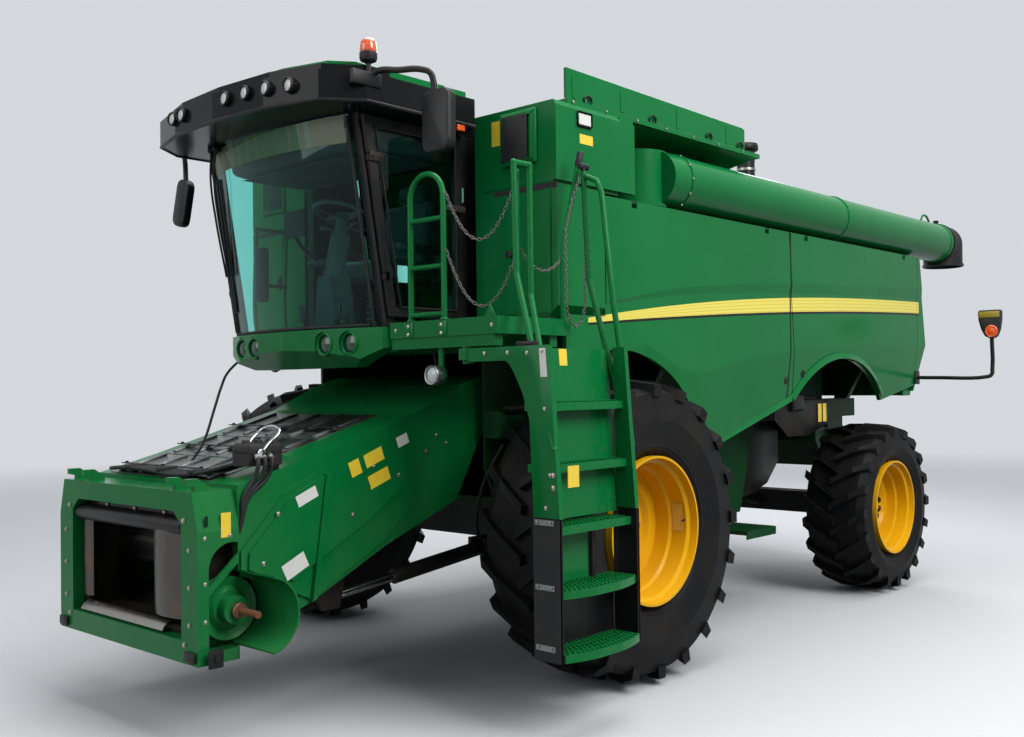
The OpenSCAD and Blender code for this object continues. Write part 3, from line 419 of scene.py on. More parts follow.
def make_finishes(look):
    green, deep, yellow = tuple(look.green), tuple(look.shaded_chassis_green), tuple(look.rim_yellow)
    FINISHES.update(
        green=gloss_paint("Gloss green", green),
        striped=gloss_paint("Gloss green with side stripe", green, 0.1, stripe),
        roof=gloss_paint("Roof green over black visor", green, 0.1, visor),
        # the feeder's inside darkened as painted shade
        mouth=gloss_paint("Gloss green, dark inside as painted shade", green, 0.15, mouth),
        drive=gloss_paint("Gloss green with bare shaft", green, 0.2, bare_shaft),
        # satin chassis paint whose colour is darkened as painted shade
        deep=worn_paint("Chassis green, darkened as painted shade", deep),
        yellow=gloss_paint("Rim yellow", yellow, 0.2),
        black=moulded("Black powder coat", (0.0055, 0.0055, 0.0065), 0.4, 320.0),
        plastic=moulded("Moulded black plastic", (0.014, 0.014, 0.016)),
        grey_plastic=moulded("Cab trim grey", (0.030, 0.032, 0.035), 0.55),
        steel=bare_steel("Rubbed steel", (0.30, 0.29, 0.27)),
        sheet=bare_steel("Worn zinc sheet", (0.20, 0.22, 0.215), 0.34, 0.2),
        worn=bare_steel("Crop worn guard", (0.085, 0.080, 0.074), 0.34, 0.6),
        chain=bare_steel("Dull chain", (0.13, 0.13, 0.12), 0.42, 0.4),
        rusty=bare_steel("Rusted shaft", (0.20, 0.12, 0.08), 0.5, 0.9),
        chrome=bare_steel("Chromed rod", (0.55, 0.56, 0.58), 0.16, 0.0),
        bolt=bare_steel("Zinc plated bolt", (0.36, 0.35, 0.31), 0.36, 0.1),
        engine=worn_paint("Engine paint", (0.03, 0.10, 0.045), 0.5),
        rubber=soft_rubber("Soft rubber"),
        hose=soft_rubber("Hose rubber", (0.012, 0.012, 0.013)),
        glass=tinted_glass("Tinted glass", tuple(look.glass)),
        mirror=bare_steel("Mirror face", (0.45, 0.48, 0.51), 0.06, 0.0),
        clear=lens("Clear lens", (0.55, 0.57, 0.58)),
        smoky=lens("Smoky lens", (0.012, 0.055, 0.030), 200.0, 0.12),
        orange=lens("Orange lens", (0.78, 0.085, 0.006), 300.0),
        red=lens("Red lens", (0.40, 0.012, 0.01)),
        amber_plate=lens("Orange reflector", (0.52, 0.055, 0.02), 700.0),
        cloth=woven_cloth("Seat cloth", (0.030, 0.031, 0.034)),
        decal_yellow=sticker("Yellow film", (0.75, 0.53, 0.035)),
        decal_pale=sticker("Pale yellow film", (0.66, 0.46, 0.10)),
        decal_olive=sticker("Olive film", (0.26, 0.20, 0.02)),
        decal_white=sticker("White film", (0.62, 0.62, 0.58)),
        decal_teal=sticker("Teal film", (0.16, 0.55, 0.50)),
        sun_film=sticker("Green sun film", (0.036, 0.072, 0.002), (0.060, 0.100, 0.015)),
    )


# Modelling helpers: each leaves a finished mesh whose place is in its vertices


def clear_selection():
    if bpy.context.object and bpy.context.object.mode != "OBJECT":
        bpy.ops.object.mode_set(mode="OBJECT")
    bpy.ops.object.select_all(action="DESELECT")


def choose(piece):
    clear_selection()
    piece.select_set(True)
    bpy.context.view_layer.objects.active = piece


def settle(piece):
    """Puts the object's place, turn and size into its mesh."""
    choose(piece)
    bpy.ops.object.transform_apply(location=True, rotation=True, scale=True)
    return piece


def edit(piece):
    choose(piece)
    bpy.ops.object.mode_set(mode="EDIT")
    bpy.ops.mesh.select_mode(type="FACE")


def linked(name, data):
    """A new object in the scene that holds the data."""
    piece = bpy.data.objects.new(name, data)
    bpy.context.scene.collection.objects.link(piece)
    return piece


def turn_outwards(piece):
    """Makes all faces of a closed mesh point outwards."""
    edit(piece)
    bpy.ops.mesh.select_all(action="SELECT")
    bpy.ops.mesh.normals_make_consistent(inside=False)
    bpy.ops.object.mode_set(mode="OBJECT")


def pick_faces(piece, test):
    """Selects in edit mode the faces for whose normal the test holds."""
    bpy.ops.mesh.select_all(action="DESELECT")
    bpy.ops.object.mode_set(mode="OBJECT")
    for face in piece.data.polygons:
        face.select = test(face.normal)
    bpy.ops.object.mode_set(mode="EDIT")


def block(low, high, bevel=0.0, segments=2):
    """A box between two corners with rounded edges."""
    low, high = Vector(low), Vector(high)
    clear_selection()
    bpy.ops.mesh.primitive_cube_add(size=1, location=(low + high) / 2, scale=high - low)
    piece = settle(bpy.context.object)
    if bevel:
        edit(piece)
        bpy.ops.mesh.select_all(action="SELECT")
        bpy.ops.mesh.bevel(offset=bevel, segments=segments, affect="EDGES")
        bpy.ops.object.mode_set(mode="OBJECT")
    return piece


def side_block(side, low, high, bevel=0.0, segments=2):
    """A block() between corners given for the left side from the front axle, or its mirror image."""
    near, far = sorted((side * low[1], side * high[1]))
    return block(at(low[0], near, low[2]), at(high[0], far, high[2]), bevel, segments)


def drum(start, end, radius, sides=32, bevel=0.0, segments=2):
    """A round bar from start to end with rounded rims."""
    start, end = Vector(start), Vector(end)
    clear_selection()
    bpy.ops.mesh.primitive_cylinder_add(
        vertices=sides, radius=radius, depth=(end - start).length, location=(start + end) / 2,
        rotation=(end - start).to_track_quat("Z", "Y").to_euler(),
    )
    piece = settle(bpy.context.object)
    if bevel:
        axis = (end - start).normalized()
        edit(piece)
        pick_faces(piece, lambda normal: abs(normal.dot(axis)) > 0.95)
        bpy.ops.mesh.bevel(offset=bevel, segments=segments, affect="EDGES")
        bpy.ops.object.mode_set(mode="OBJECT")
    return piece


def inset(piece, direction, *steps):
    """Insets the faces that look in a direction, once for each (width, depth) step."""
    direction = Vector(direction)
    edit(piece)
    pick_faces(piece, lambda normal: normal.dot(direction) > 0.95)
    for width, depth in steps:
        bpy.ops.mesh.inset(thickness=width, depth=depth, use_boundary=True)
    bpy.ops.object.mode_set(mode="OBJECT")
    return piece


def plate(corners, thickness, bevel=0.0):
    """A flat sheet through its corners, thickened along its normal."""
    data = bpy.data.meshes.new("plate")
    data.from_pydata([Vector(c) for c in corners], [], [tuple(range(len(corners)))])
    piece = linked("plate", data)
    edit(piece)
    bpy.ops.mesh.select_all(action="SELECT")
    bpy.ops.mesh.extrude_region_shrink_fatten(
        TRANSFORM_OT_shrink_fatten={"value": thickness, "use_even_offset": True}
    )
    bpy.ops.mesh.select_all(action="SELECT")
    bpy.ops.mesh.normals_make_consistent(inside=False)
    if bevel:
        bpy.ops.mesh.bevel(offset=bevel, segments=2, affect="EDGES")
    bpy.ops.object.mode_set(mode="OBJECT")
    return piece


def rounded(centre, along, up, width, height, radius, steps=4):
    """Corners of a rectangle with rounded corners, for plate()."""
    centre, along, up = Vector(centre), Vector(along).normalized(), Vector(up).normalized()
    corners = []
    for sx, sy, start in ((1, 1, 0), (-1, 1, 90), (-1, -1, 180), (1, -1, 270)):
        middle = centre + along * sx * (width / 2 - radius) + up * sy * (height / 2 - radius)
        for i in range(steps + 1):
            angle = math.radians(start + 90 * i / steps)
            corners.append(middle + along * radius * math.cos(angle) + up * radius * math.sin(angle))
    return corners


def curved(rows, thickness):
    """A sheet through rows of points, thickened by a modifier."""
    data = bpy.data.meshes.new("curved")
    count = len(rows[0])
    data.from_pydata(
        [Vector(point) for row in rows for point in row], [],
        [(r * count + i, r * count + i + 1, (r + 1) * count + i + 1, (r + 1) * count + i)
         for r in range(len(rows) - 1) for i in range(count - 1)],
    )
    piece = linked("curved", data)
    choose(piece)
    skin = piece.modifiers.new("Skin", "SOLIDIFY")
    skin.thickness, skin.offset = thickness, 0.0
    bpy.ops.object.modifier_apply(modifier=skin.name)
    return piece


def turned(profile, centre, axis, steps=48):
    """A closed outline of (radius, distance along the axis) spun once round the axis."""
    axis = Vector(axis).normalized()
    turn = axis.to_track_quat("Z", "Y").to_matrix()
    data = bpy.data.meshes.new("turned")
    points = [Vector(centre) + turn @ Vector((r, 0, h)) for r, h in profile]
    count = len(points)
    data.from_pydata(points, [(i, (i + 1) % count) for i in range(count)], [])
    piece = linked("turned", data)
    edit(piece)
    bpy.ops.mesh.select_mode(type="VERT")
    bpy.ops.mesh.select_all(action="SELECT")
    bpy.ops.mesh.spin(steps=steps, angle=math.tau, center=centre, axis=axis)
    bpy.ops.mesh.select_all(action="SELECT")
    bpy.ops.mesh.remove_doubles(threshold=0.0001)
    bpy.ops.mesh.normals_make_consistent(inside=False)
    bpy.ops.mesh.select_mode(type="FACE")
    bpy.ops.object.mode_set(mode="OBJECT")
    return piece


def hose(points, radius, roundness=3, smooth=True):
    """A tube along points of the frame, made as a curve and turned into a mesh."""
    curve = bpy.data.curves.new("hose", "CURVE")
    curve.dimensions = "3D"
    curve.bevel_depth = radius
    curve.bevel_resolution = roundness
    curve.use_fill_caps = True
    curve.resolution_u = 6
    if smooth:
        spline = curve.splines.new("BEZIER")
        spline.bezier_points.add(len(points) - 1)
        for knot, point in zip(spline.bezier_points, points):
            knot.co = Vector(point)
            knot.handle_left_type = knot.handle_right_type = "AUTO"
    else:
        spline = curve.splines.new("POLY")
        spline.points.add(len(points) - 1)
        for knot, point in zip(spline.points, points):
            knot.co = (*Vector(point), 1.0)
    piece = linked("hose", curve)
    choose(piece)
    bpy.ops.object.convert(target="MESH")
    return bpy.context.object


def pipe(points, radius, roundness=3, smooth=True):
    """A hose() along points given from the front axle."""
    return hose([at(*point) for point in points], radius, roundness, smooth)


def copies(piece, places):
    """The piece and its copies at each place, a matrix or an offset, each with its own mesh."""
    made = []
    for place in places:
        matrix = place if isinstance(place, Matrix) else Matrix.Translation(Vector(place))
        other = piece.copy()
        other.data = piece.data.copy()
        other.data.transform(matrix)
        if matrix.is_negative:
            other.data.flip_normals()
        bpy.context.scene.collection.objects.link(other)
        made.append(other)
    bpy.data.objects.remove(piece)
    return made


def joined(pieces):
    """Several meshes made one object."""
    clear_selection()
    for piece in pieces:
        piece.select_set(True)
    bpy.context.view_layer.objects.active = pieces[0]
    if len(pieces) > 1:
        bpy.ops.object.join()
    return bpy.context.view_layer.objects.active


def finish(piece, name, finish_name, body="chassis", angle=35, slot=None):
    """Names a piece, or a list joined to one, gives it its finish and lets it ride on its body."""
    if isinstance(piece, list):
        piece = joined(piece)
    piece.name = name
    piece.data.name = name
    piece.data.materials.clear()
    piece.data.materials.append(FINISHES[finish_name])
    choose(piece)
    bpy.ops.object.shade_smooth_by_angle(angle=math.radians(angle))
    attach(piece, body)
    return piece


def bolt(place, axis, size=0.012):
    """A hexagon bolt head on its washer."""
    place, axis = Vector(place), Vector(axis).normalized()
    head = drum(place, place + axis * size * 0.75, size, 6)
    inset(head, axis, (size * 0.18, size * 0.12))
    washer = drum(place, place + axis * size * 0.2, size * 1.35, 16)
    return joined([head, washer])


def around(centre, axis, count, start=0.0):
    """Turns about an axis, for copies in a ring."""
    centre = Vector(centre)
    move, back = Matrix.Translation(centre), Matrix.Translation(-centre)
    return [
        move @ Matrix.Rotation(start + math.tau * i / count, 4, axis) @ back for i in range(count)
    ]


# Sizes and colours that a user may change


class HarvesterLook(bpy.types.PropertyGroup):
    green: bpy.props.FloatVectorProperty(
        name="Body green", description="Colour of the gloss body paint", subtype="COLOR",
        size=3, default=(0.002, 0.130, 0.030), min=0, max=1,
    )
    # darker than the body green: the chassis' own satin paint, its colour darkened as painted shade under
    # the body
    shaded_chassis_green: bpy.props.FloatVectorProperty(
        name="Chassis green, darkened as painted shade", description="Colour of the satin chassis paint, darkened as painted shade", subtype="COLOR",
        size=3, default=(0.002, 0.040, 0.010), min=0, max=1,
    )
    rim_yellow: bpy.props.FloatVectorProperty(
        name="Rim yellow", description="Colour of the wheel rims", subtype="COLOR",
        size=3, default=(0.68, 0.345, 0.003), min=0, max=1,
    )
    glass: bpy.props.FloatVectorProperty(
        name="Glass tint", description="Colour of the cab glass", subtype="COLOR",
        size=3, default=(0.42, 0.86, 0.80), min=0, max=1,
    )


class HarvesterSizes(bpy.types.PropertyGroup):
    bolt: bpy.props.FloatProperty(
        name="Wheel bolt", description="Radius of a wheel bolt's head", default=0.017,
        min=0.005, max=0.04, unit="LENGTH",
    )
    hose: bpy.props.FloatProperty(
        name="Hose", description="Radius of a hydraulic hose", default=0.011, min=0.004, max=0.03,
        unit="LENGTH",
    )
    camera_lens: bpy.props.FloatProperty(
        name="Lens", description="Focal length of the camera in millimetres", default=37.77,
        min=15, max=200,
    )


class StageOperator(bpy.types.Operator):
    """Adds the pale floor, the studio light and the camera"""

    bl_idname = "harvester.stage"
    bl_label = "Studio and camera"

    # Name, place, aimed at, size and power of each softbox
    softboxes = (
        ("Key light", (0.0, 10.0, 8.5), (-1.0, 0.5, 1.5), 6.0, 1300.0),
        ("Fill light", (9.0, -2.0, 5.5), (1.0, 0.0, 1.5), 6.0, 320.0),
        ("Top light", (-1.0, 1.0, 10.0), (-1.0, 0.5, 1.0), 8.0, 1000.0),
        ("Back light", (-9.0, -5.0, 7.0), (-2.0, 0.0, 2.0), 6.0, 500.0),
    )
    # The photograph's view: place in metres from the front axle, and turns in radians
    eye = (5.1395, 5.3014, 1.7355)
    yaw, pitch, roll = 3.8841, 0.0157, -0.0126

    def execute(self, context):
        self.floor()
        self.sky(context.scene)
        self.lamps(context.scene)
        self.camera(context.scene)
        context.scene.view_settings.view_transform = "Standard"
        return {"FINISHED"}

    def floor(self):
        """A floor that looks pale but throws little light back up, as a field does."""
        clear_selection()
        bpy.ops.mesh.primitive_plane_add(size=120, location=(0, 0, 0))
        floor = bpy.context.object
        floor.name = "Floor"
        pale = Finish("Pale floor")
        seen = pale.node("ShaderNodeLightPath").outputs
        looked_at = Value(pale, seen["Is Camera Ray"]).larger(Value(pale, seen["Is Glossy Ray"]))
        looked_at = looked_at.larger(Value(pale, seen["Is Transmission Ray"]))
        pale.set(colour=pale.mix(looked_at, (0.10, 0.105, 0.10, 1), (0.46, 0.47, 0.48, 1)), rough=0.9)
        plain = pale.node("ShaderNodeEmission", None, {"Color": PALE, "Strength": 1.0})
        place = pale.node("ShaderNodeNewGeometry").outputs["Position"]
        far = pale.node("ShaderNodeVectorMath", {"operation": "LENGTH"}, {0: place})
        haze = Value(pale, far.outputs["Value"]).ramp(6.0, 20.0)
        blend = pale.node(
            "ShaderNodeMixShader", None,
            {0: haze * looked_at, 1: pale.shader.outputs[0], 2: plain.outputs[0]},
        )
        pale.tree.links.new(blend.outputs[0], pale.tree.nodes["Material Output"].inputs[0])
        floor.data.materials.append(pale.material)

    def sky(self, scene):
        """Soft light all round, which looks plain and pale to the camera, in gloss and through glass."""
        world = bpy.data.worlds.new("Studio")
        scene.world = world
        world.use_nodes = True
        nodes, links = world.node_tree.nodes, world.node_tree.links
        sky, card = nodes["Background"], nodes.new("ShaderNodeBackground")
        for source, colour, strength in ((sky, (0.86, 0.93, 1.0, 1), 0.50), (card, PALE, 1.0)):
            source.inputs[0].default_value = colour
            source.inputs[1].default_value = strength
        path = nodes.new("ShaderNodeLightPath").outputs
        shown = path["Is Camera Ray"]
        for ray in ("Is Glossy Ray", "Is Transmission Ray"):
            either = nodes.new("ShaderNodeMath")
            either.operation = "MAXIMUM"
            links.new(shown, either.inputs[0])
            links.new(path[ray], either.inputs[1])
            shown = either.outputs[0]
        view = nodes.new("ShaderNodeMixShader")
        links.new(shown, view.inputs[0])
        links.new(sky.outputs[0], view.inputs[1])
        links.new(card.outputs[0], view.inputs[2])
        links.new(view.outputs[0], nodes["World Output"].inputs[0])

    def lamps(self, scene):
        for name, place, aim, size, power in self.softboxes:
            lamp = bpy.data.lights.new(name, "AREA")
            lamp.size = size
            lamp.energy = power
            holder = linked(name, lamp)
            holder.location = at(*place)
            holder.rotation_euler = (at(*aim) - at(*place)).to_track_quat("-Z", "Y").to_euler()

    def camera(self, scene):
        eye = at(*self.eye)
        flat = math.cos(self.pitch)
        forward = Vector((flat * math.cos(self.yaw), flat * math.sin(self.yaw), math.sin(self.pitch)))
        right = forward.cross(Vector((0, 0, 1))).normalized()
        upward = right.cross(forward)
        level = right * math.cos(self.roll) + upward * math.sin(self.roll)
        upright = upward * math.cos(self.roll) - right * math.sin(self.roll)
        view = bpy.data.cameras.new("Photo view")
        view.sensor_width = 36.0
        view.lens = scene.harvester_sizes.camera_lens
        view.clip_end = 200.0
        holder = linked("Photo view", view)
        rows = [(level[i], upright[i], -forward[i], eye[i]) for i in range(3)]
        holder.matrix_world = Matrix((*rows, (0, 0, 0, 1)))
        scene.camera = holder


class PaintOperator(bpy.types.Operator):
    """Gives every CAD part its finish"""

    bl_idname = "harvester.paint"
    bl_label = "Paint the frame"

    def execute(self, context):
        make_finishes(context.scene.harvester_look)
        by_finish = {
            "striped": ["panel_front_left", "panel_front_right", "panel_rear_left",
                        "panel_rear_right", "rear_hood"],
            "green": ["front_cabinets", "grain_tank", "tank_flap_left", "tank_flap_right",
                      "engine_cover", "cab_base", "platform", "handrails", "auger_turret",
                      "auger_tube"],
            "mouth": ["feeder_house", "feeder_face"],
            "drive": ["header_drive"],
            "roof": ["cab_roof"],
            "deep": ["frame", "side_frame", "separator", "chopper_housing", "tailboard"],
            "yellow": ["rim_front_left", "rim_front_right", "rim_rear_left", "rim_rear_right"],
            "black": ["cab_frame", "door", "mirrors", "rear_lamp_arms", "front_axle", "rear_axle",
                      "knuckle_left", "knuckle_right", "lift_barrels", "coupler", "exhaust"],
            "plastic": ["seat", "lamps"],
            "grey_plastic": ["controls"],
            "rubber": ["auger_spout"],
            "steel": ["chopper_rotor", "feeder_conveyor"],
            "chrome": ["lift_rods"],
            "engine": ["engine"],
            "glass": ["windscreen", "cab_glass", "door_glass"],
        }
        for finish_name, nodes in by_finish.items():
            for node in nodes:
                self.coat(node, FINISHES[finish_name])
        for end, wheel in (("front", FRONT_WHEEL), ("rear", REAR_WHEEL)):
            low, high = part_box(f"rim_{end}_left")
            centre = Vector((wheel.x, 0, wheel.z))
            for side, hand in SIDES:
                node = f"tyre_{end}_{hand}"
                self.coat(node, tyre_rubber(node + " rubber", centre, wheel.z, (high.z - low.z) / 2))
        self.coat("ladder", self.ladder_finish())
        return {"FINISHED"}

    def coat(self, node, material):
        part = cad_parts[node]
        part.data.materials.clear()
        part.data.materials.append(material)

    def ladder_finish(self):
        """Green ladder whose lowest sides are black rubber."""
        paint = Finish("Ladder green and rubber sides")
        green = tuple(bpy.context.scene.harvester_look.green)
        x, y, z = paint.xyz()
        rubber = (z < 1.088) * (x < 0.581).larger(x > 1.179)
        grime = paint.noise(24.0, 5.0, 0.7).ramp(0.5, 0.75)
        tone = paint.mix(grime * 0.15, rgb(green), rgb(DUST, 0.6))
        tone = paint.mix(rubber, tone, rgb(MATT_BLACK))
        paint.set(colour=tone, rough=rubber * 0.35 + grime * 0.25 + 0.22, specular=0.12)
        paint.bump(paint.noise(30.0, 1.0), 0.03, 0.001)
        return paint.material


class WheelOperator(bpy.types.Operator):
    """Adds the bolts, hub caps and valves of the wheels"""

    bl_idname = "harvester.wheels"
    bl_label = "Wheel fittings"

    # Hub's face from the wheel's middle plane, and the inside of the rim's wall
    hub_face, rim_wall_r = 0.045, 0.3785

    def execute(self, context):
        size = context.scene.harvester_sizes.bolt
        # End, middle of the wheel, radius of the ring of bolts, their number, radius and finish,
        # height of the hub cap
        table = (
            ("front", FRONT_WHEEL, 0.155, 12, size, "bolt", 0.028),
            ("rear", REAR_WHEEL, 0.115, 10, size * 1.3, "black", 0.03),
        )
        for end, wheel, ring, count, radius, coat, stand in table:
            for side, hand in SIDES:
                name, body = f"{end}_{hand}", f"wheel_{end}_{hand}"
                middle = Vector((wheel.x, side * (abs(wheel.y) + self.hub_face), wheel.z))
                outward = Vector((0, side, 0))
                one = bolt(middle + Vector((0, 0, ring)), outward, radius)
                bolts = copies(one, around(middle, "Y", count))
                finish(bolts, f"wheel_bolts_{name}", coat, body, slot="steel")
                cap = turned(
                    [(0, stand), (0.052, stand), (0.062, stand - 0.008), (0.07, 0.012), (0.088, 0.008),
                     (0.088, 0.0), (0, 0.0)], middle, outward, 36,
                )
                finish(cap, f"hub_cap_{name}", "yellow", body)
                if end == "front":
                    self.rim_label(name, body, side)
        return {"FINISHED"}

    def rim_label(self, name, body, side):
        """A blank label and the valve on the rim's inner wall."""
        middle, radius = FRONT_WHEEL, self.rim_wall_r
        rows = []
        for i in range(7):
            angle = math.pi - 0.32 + 0.075 * i
            x, z = middle.x + math.cos(angle) * radius, middle.z + math.sin(angle) * radius
            rows.append([(x, side * y, z) for y in (1.560, 1.632)])
        finish(curved(rows, 0.001), f"rim_label_{name}", "decal_pale", body, angle=60)
        valve = drum(
            (middle.x - 0.380, side * 1.645, middle.z + 0.02),
            (middle.x - 0.340, side * 1.648, middle.z + 0.02), 0.006, 16, 0.002,
        )
        finish(valve, f"valve_{name}", "plastic", body, slot="rubber")


# Shapes shared by several pieces


# Half the windscreen's width, its bow, and its lean over the height from the cab's floor
SCREEN_HALF, SCREEN_BOW = 0.74, 0.13
CAB_FLOOR_Z, CAB_HEIGHT, CAB_LEAN = 2.07, 1.17, 0.19
ROOF_PLAN = (
    (0.622, 0.798), (0.690, 0.945), (1.498, 0.945), (1.695, 0.797), (1.795, 0.449), (1.825, 0.0),
)
AUGER_Y, AUGER_Z = 1.36, 3.04
# The feeder house's top: where its slope changes, and the slopes before and behind it
FEEDER_BEND = (1.79, 1.35)
FEEDER_SLOPES = (0.25, 0.2824)


def screen_point(y, z, out=0.0):
    """A point on the windscreen's outer face, or out from it."""
    radius = (SCREEN_HALF ** 2 + SCREEN_BOW ** 2) / (2 * SCREEN_BOW)
    bow = SCREEN_BOW - radius + math.sqrt(radius ** 2 - y * y)
    return at(1.20 + CAB_LEAN * (z - CAB_FLOOR_Z) / CAB_HEIGHT + bow + out, y, z)


def door_front_x(z):
    """The leaning front edge of the door."""
    return 1.19 + CAB_LEAN * (z - CAB_FLOOR_Z) / CAB_HEIGHT


def chain(points, spacing=0.022):
    """Links of a chain hung along points."""
    places, left = [], 0.0
    for start, end in zip(points[:-1], points[1:]):
        step = end - start
        while left < step.length:
            places.append((start + step.normalized() * left, step.normalized()))
            left += spacing
        left -= step.length
    clear_selection()
    bpy.ops.mesh.primitive_torus_add(
        major_radius=0.0078, minor_radius=0.0023, major_segments=12, minor_segments=6
    )
    link = bpy.context.object
    link.scale = (1.75, 1.0, 1.0)
    settle(link)
    matrices = []
    for index, (place, along) in enumerate(places):
        turn = along.to_track_quat("X", "Z").to_matrix().to_4x4()
        twist = Matrix.Rotation(math.radians(90 * (index % 2) + 20), 4, "X")
        matrices.append(Matrix.Translation(place) @ turn @ twist)
    return joined(copies(link, matrices))


def sagging(start, end, drop, count=24):
    """Points of a chain or cable between two places, hanging by drop in the middle."""
    start, end = Vector(start), Vector(end)
    return [
        start.lerp(end, i / count) - Vector((0, 0, drop * 4 * (i / count) * (1 - i / count)))
        for i in range(count + 1)
    ]


def decal(centre, along, up, width, height, lift=0.0015):
    """A thin blank label on a flat face."""
    centre, along, up = Vector(centre), Vector(along).normalized(), Vector(up).normalized()
    corners = [
        centre + along * sx * width / 2 + up * sy * height / 2
        for sx, sy in ((-1, -1), (1, -1), (1, 1), (-1, 1))
    ]
    return plate(corners, -lift)


# Pieces


class CabOperator(bpy.types.Operator):
    """Adds the cab's lamps, wipers, mirrors, beacon, seals and door fittings"""

    bl_idname = "harvester.cab"
    bl_label = "Cab fittings"

    # x of the face, y and z of each work lamp on the roof's front
    work_lamps = [
        (1.837, 0.132, 3.345), (1.824, 0.308, 3.345), (1.808, 0.476, 3.340),
        (1.767, 0.630, 3.335), (1.812, -0.460, 3.340), (1.824, -0.340, 3.340),
    ]

    def execute(self, context):
        self.lamps()
        self.wipers()
        self.mirrors()
        self.beacon()
        self.seals()
        self.door()
        self.inside()
        return {"FINISHED"}

    def lamps(self):
        bezels, lenses = [], []
        for x, y, z in self.work_lamps:
            face = at(x, y, z)
            bezels.append(turned(
                [(0.032, 0.001), (0.033, 0.010), (0.037, 0.013), (0.041, 0.008), (0.042, -0.03),
                 (0.038, -0.03), (0.037, 0.0)], face, (1, 0, 0), 32,
            ))
            lenses.append(turned(
                [(0, 0.010), (0.018, 0.0085), (0.033, 0.003), (0.033, 0.0), (0, 0.0)], face,
                (1, 0, 0), 32,
            ))
        finish(bezels, "work_lamp_bezels", "plastic")
        finish(lenses, "work_lamp_lenses", "clear", angle=60)
        for name, y in (("inner", 0.350), ("outer", 0.530)):
            nose = at(1.300 if y > 0.5 else 1.335, 0, 1.985)
            rings, glasses = [], []
            for side in (1, -1):
                face = Vector((nose.x, side * y, nose.z))
                rings.append(turned(
                    [(0.052, -0.03), (0.055, 0.0), (0.062, 0.004), (0.0695, 0.0), (0.0695, -0.04),
                     (0.055, -0.04)], face, (1, 0, 0), 36,
                ))
                glasses.append(turned(
                    [(0, 0.0), (0.03, -0.003), (0.053, -0.014), (0.053, -0.03), (0, -0.03)], face,
                    (1, 0, 0), 36,
                ))
            finish(rings, f"headlamp_rings_{name}", "green")
            finish(glasses, f"headlamp_lenses_{name}", "smoky", angle=60)

    def wipers(self):
        arms, blades = [], []
        for lean, start in ((0.0, -0.60), (0.055, -0.52)):
            foot = screen_point(start, 3.225, 0.03)
            knee = screen_point(-0.665 + lean, 2.80, 0.05)
            tip = screen_point(-0.675 + lean, 2.45, 0.03)
            arms.append(hose([foot, foot.lerp(knee, 0.4) + Vector((0.02, 0, 0)), knee, tip], 0.007))
            top, low = screen_point(-0.65 + lean, 3.05, 0.012), screen_point(-0.69 + lean, 2.22, 0.012)
            side = Vector((0, 0.008, 0))
            blades.append(plate([top - side, top + side, low + side, low - side], 0.012, 0.002))
            arms.append(drum(foot - Vector((0.03, 0, 0)), foot + Vector((0.02, 0, 0)), 0.018, 20, 0.004))
        finish(arms, "wiper_arms", "black")
        finish(blades, "wiper_blades", "rubber")

    def mirrors(self):
        # Side, arm, middle of the head, its width and height, lean in degrees
        table = [
            ("left", [(1.455, 0.935, 3.385), (1.445, 0.970, 3.404), (1.405, 1.100, 3.392),
                      (1.355, 1.222, 3.380), (1.335, 1.262, 3.358), (1.323, 1.274, 3.310),
                      (1.32, 1.280, 3.22)], (1.32, 1.305, 3.104), 0.205, 0.325, 0),
            ("right", [(1.45, -0.945, 3.31), (1.40, -1.04, 3.30), (1.30, -1.19, 3.28),
                       (1.275, -1.225, 3.23), (1.27, -1.23, 3.12)],
             (1.27, -1.262, 3.000), 0.150, 0.320, -16),
        ]
        for side, points, middle, width, height, lean in table:
            arm = pipe(points, 0.017)
            middle = at(*middle)
            turn = Matrix.Rotation(math.radians(lean), 3, "X")
            across, upward = turn @ Vector((0, 1, 0)), turn @ Vector((0, 0, 1))
            rim = middle - Vector((0.031, 0, 0))
            head = plate(rounded(rim, across, upward, width, height, 0.052), -0.062, 0.016)
            shift = middle.x - sum(vertex.co.x for vertex in head.data.vertices) / len(head.data.vertices)
            head.data.transform(Matrix.Translation((shift, 0, 0)))
            inset(head, (-1, 0, 0), (0.006, 0.0), (0.004, -0.005))
            parts = [arm, head]
            if side == "left":
                parts.append(block(at(1.40, 0.922, 3.318), at(1.60, 0.962, 3.398), 0.012))
            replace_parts(finish(parts, f"mirror_{side}", "black", angle=40, slot="plastic"), "mirrors")
            face = plate(
                rounded(middle - Vector((0.0275, 0, 0)), across, upward, width - 0.05, height - 0.05, 0.035),
                0.002,
            )
            finish(face, f"mirror_glass_{side}", "mirror")

    def beacon(self):
        foot = at(1.461, 0.920, 3.390)
        base = turned(
            [(0, 0), (0.030, 0), (0.030, 0.010), (0.015, 0.016), (0.013, 0.058), (0.022, 0.066),
             (0.042, 0.074), (0.048, 0.086), (0.048, 0.116), (0.044, 0.120), (0, 0.120)],
            foot, (0, 0, 1), 40,
        )
        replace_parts(finish(base, "beacon_base", "plastic", angle=40), "lamps")
        dome = turned(
            [(0, 0.118), (0.043, 0.118), (0.046, 0.124), (0.045, 0.152), (0.041, 0.176),
             (0.030, 0.192), (0.013, 0.199), (0, 0.200)], foot, (0, 0, 1), 40,
        )
        finish(dome, "beacon_dome", "orange", angle=60)

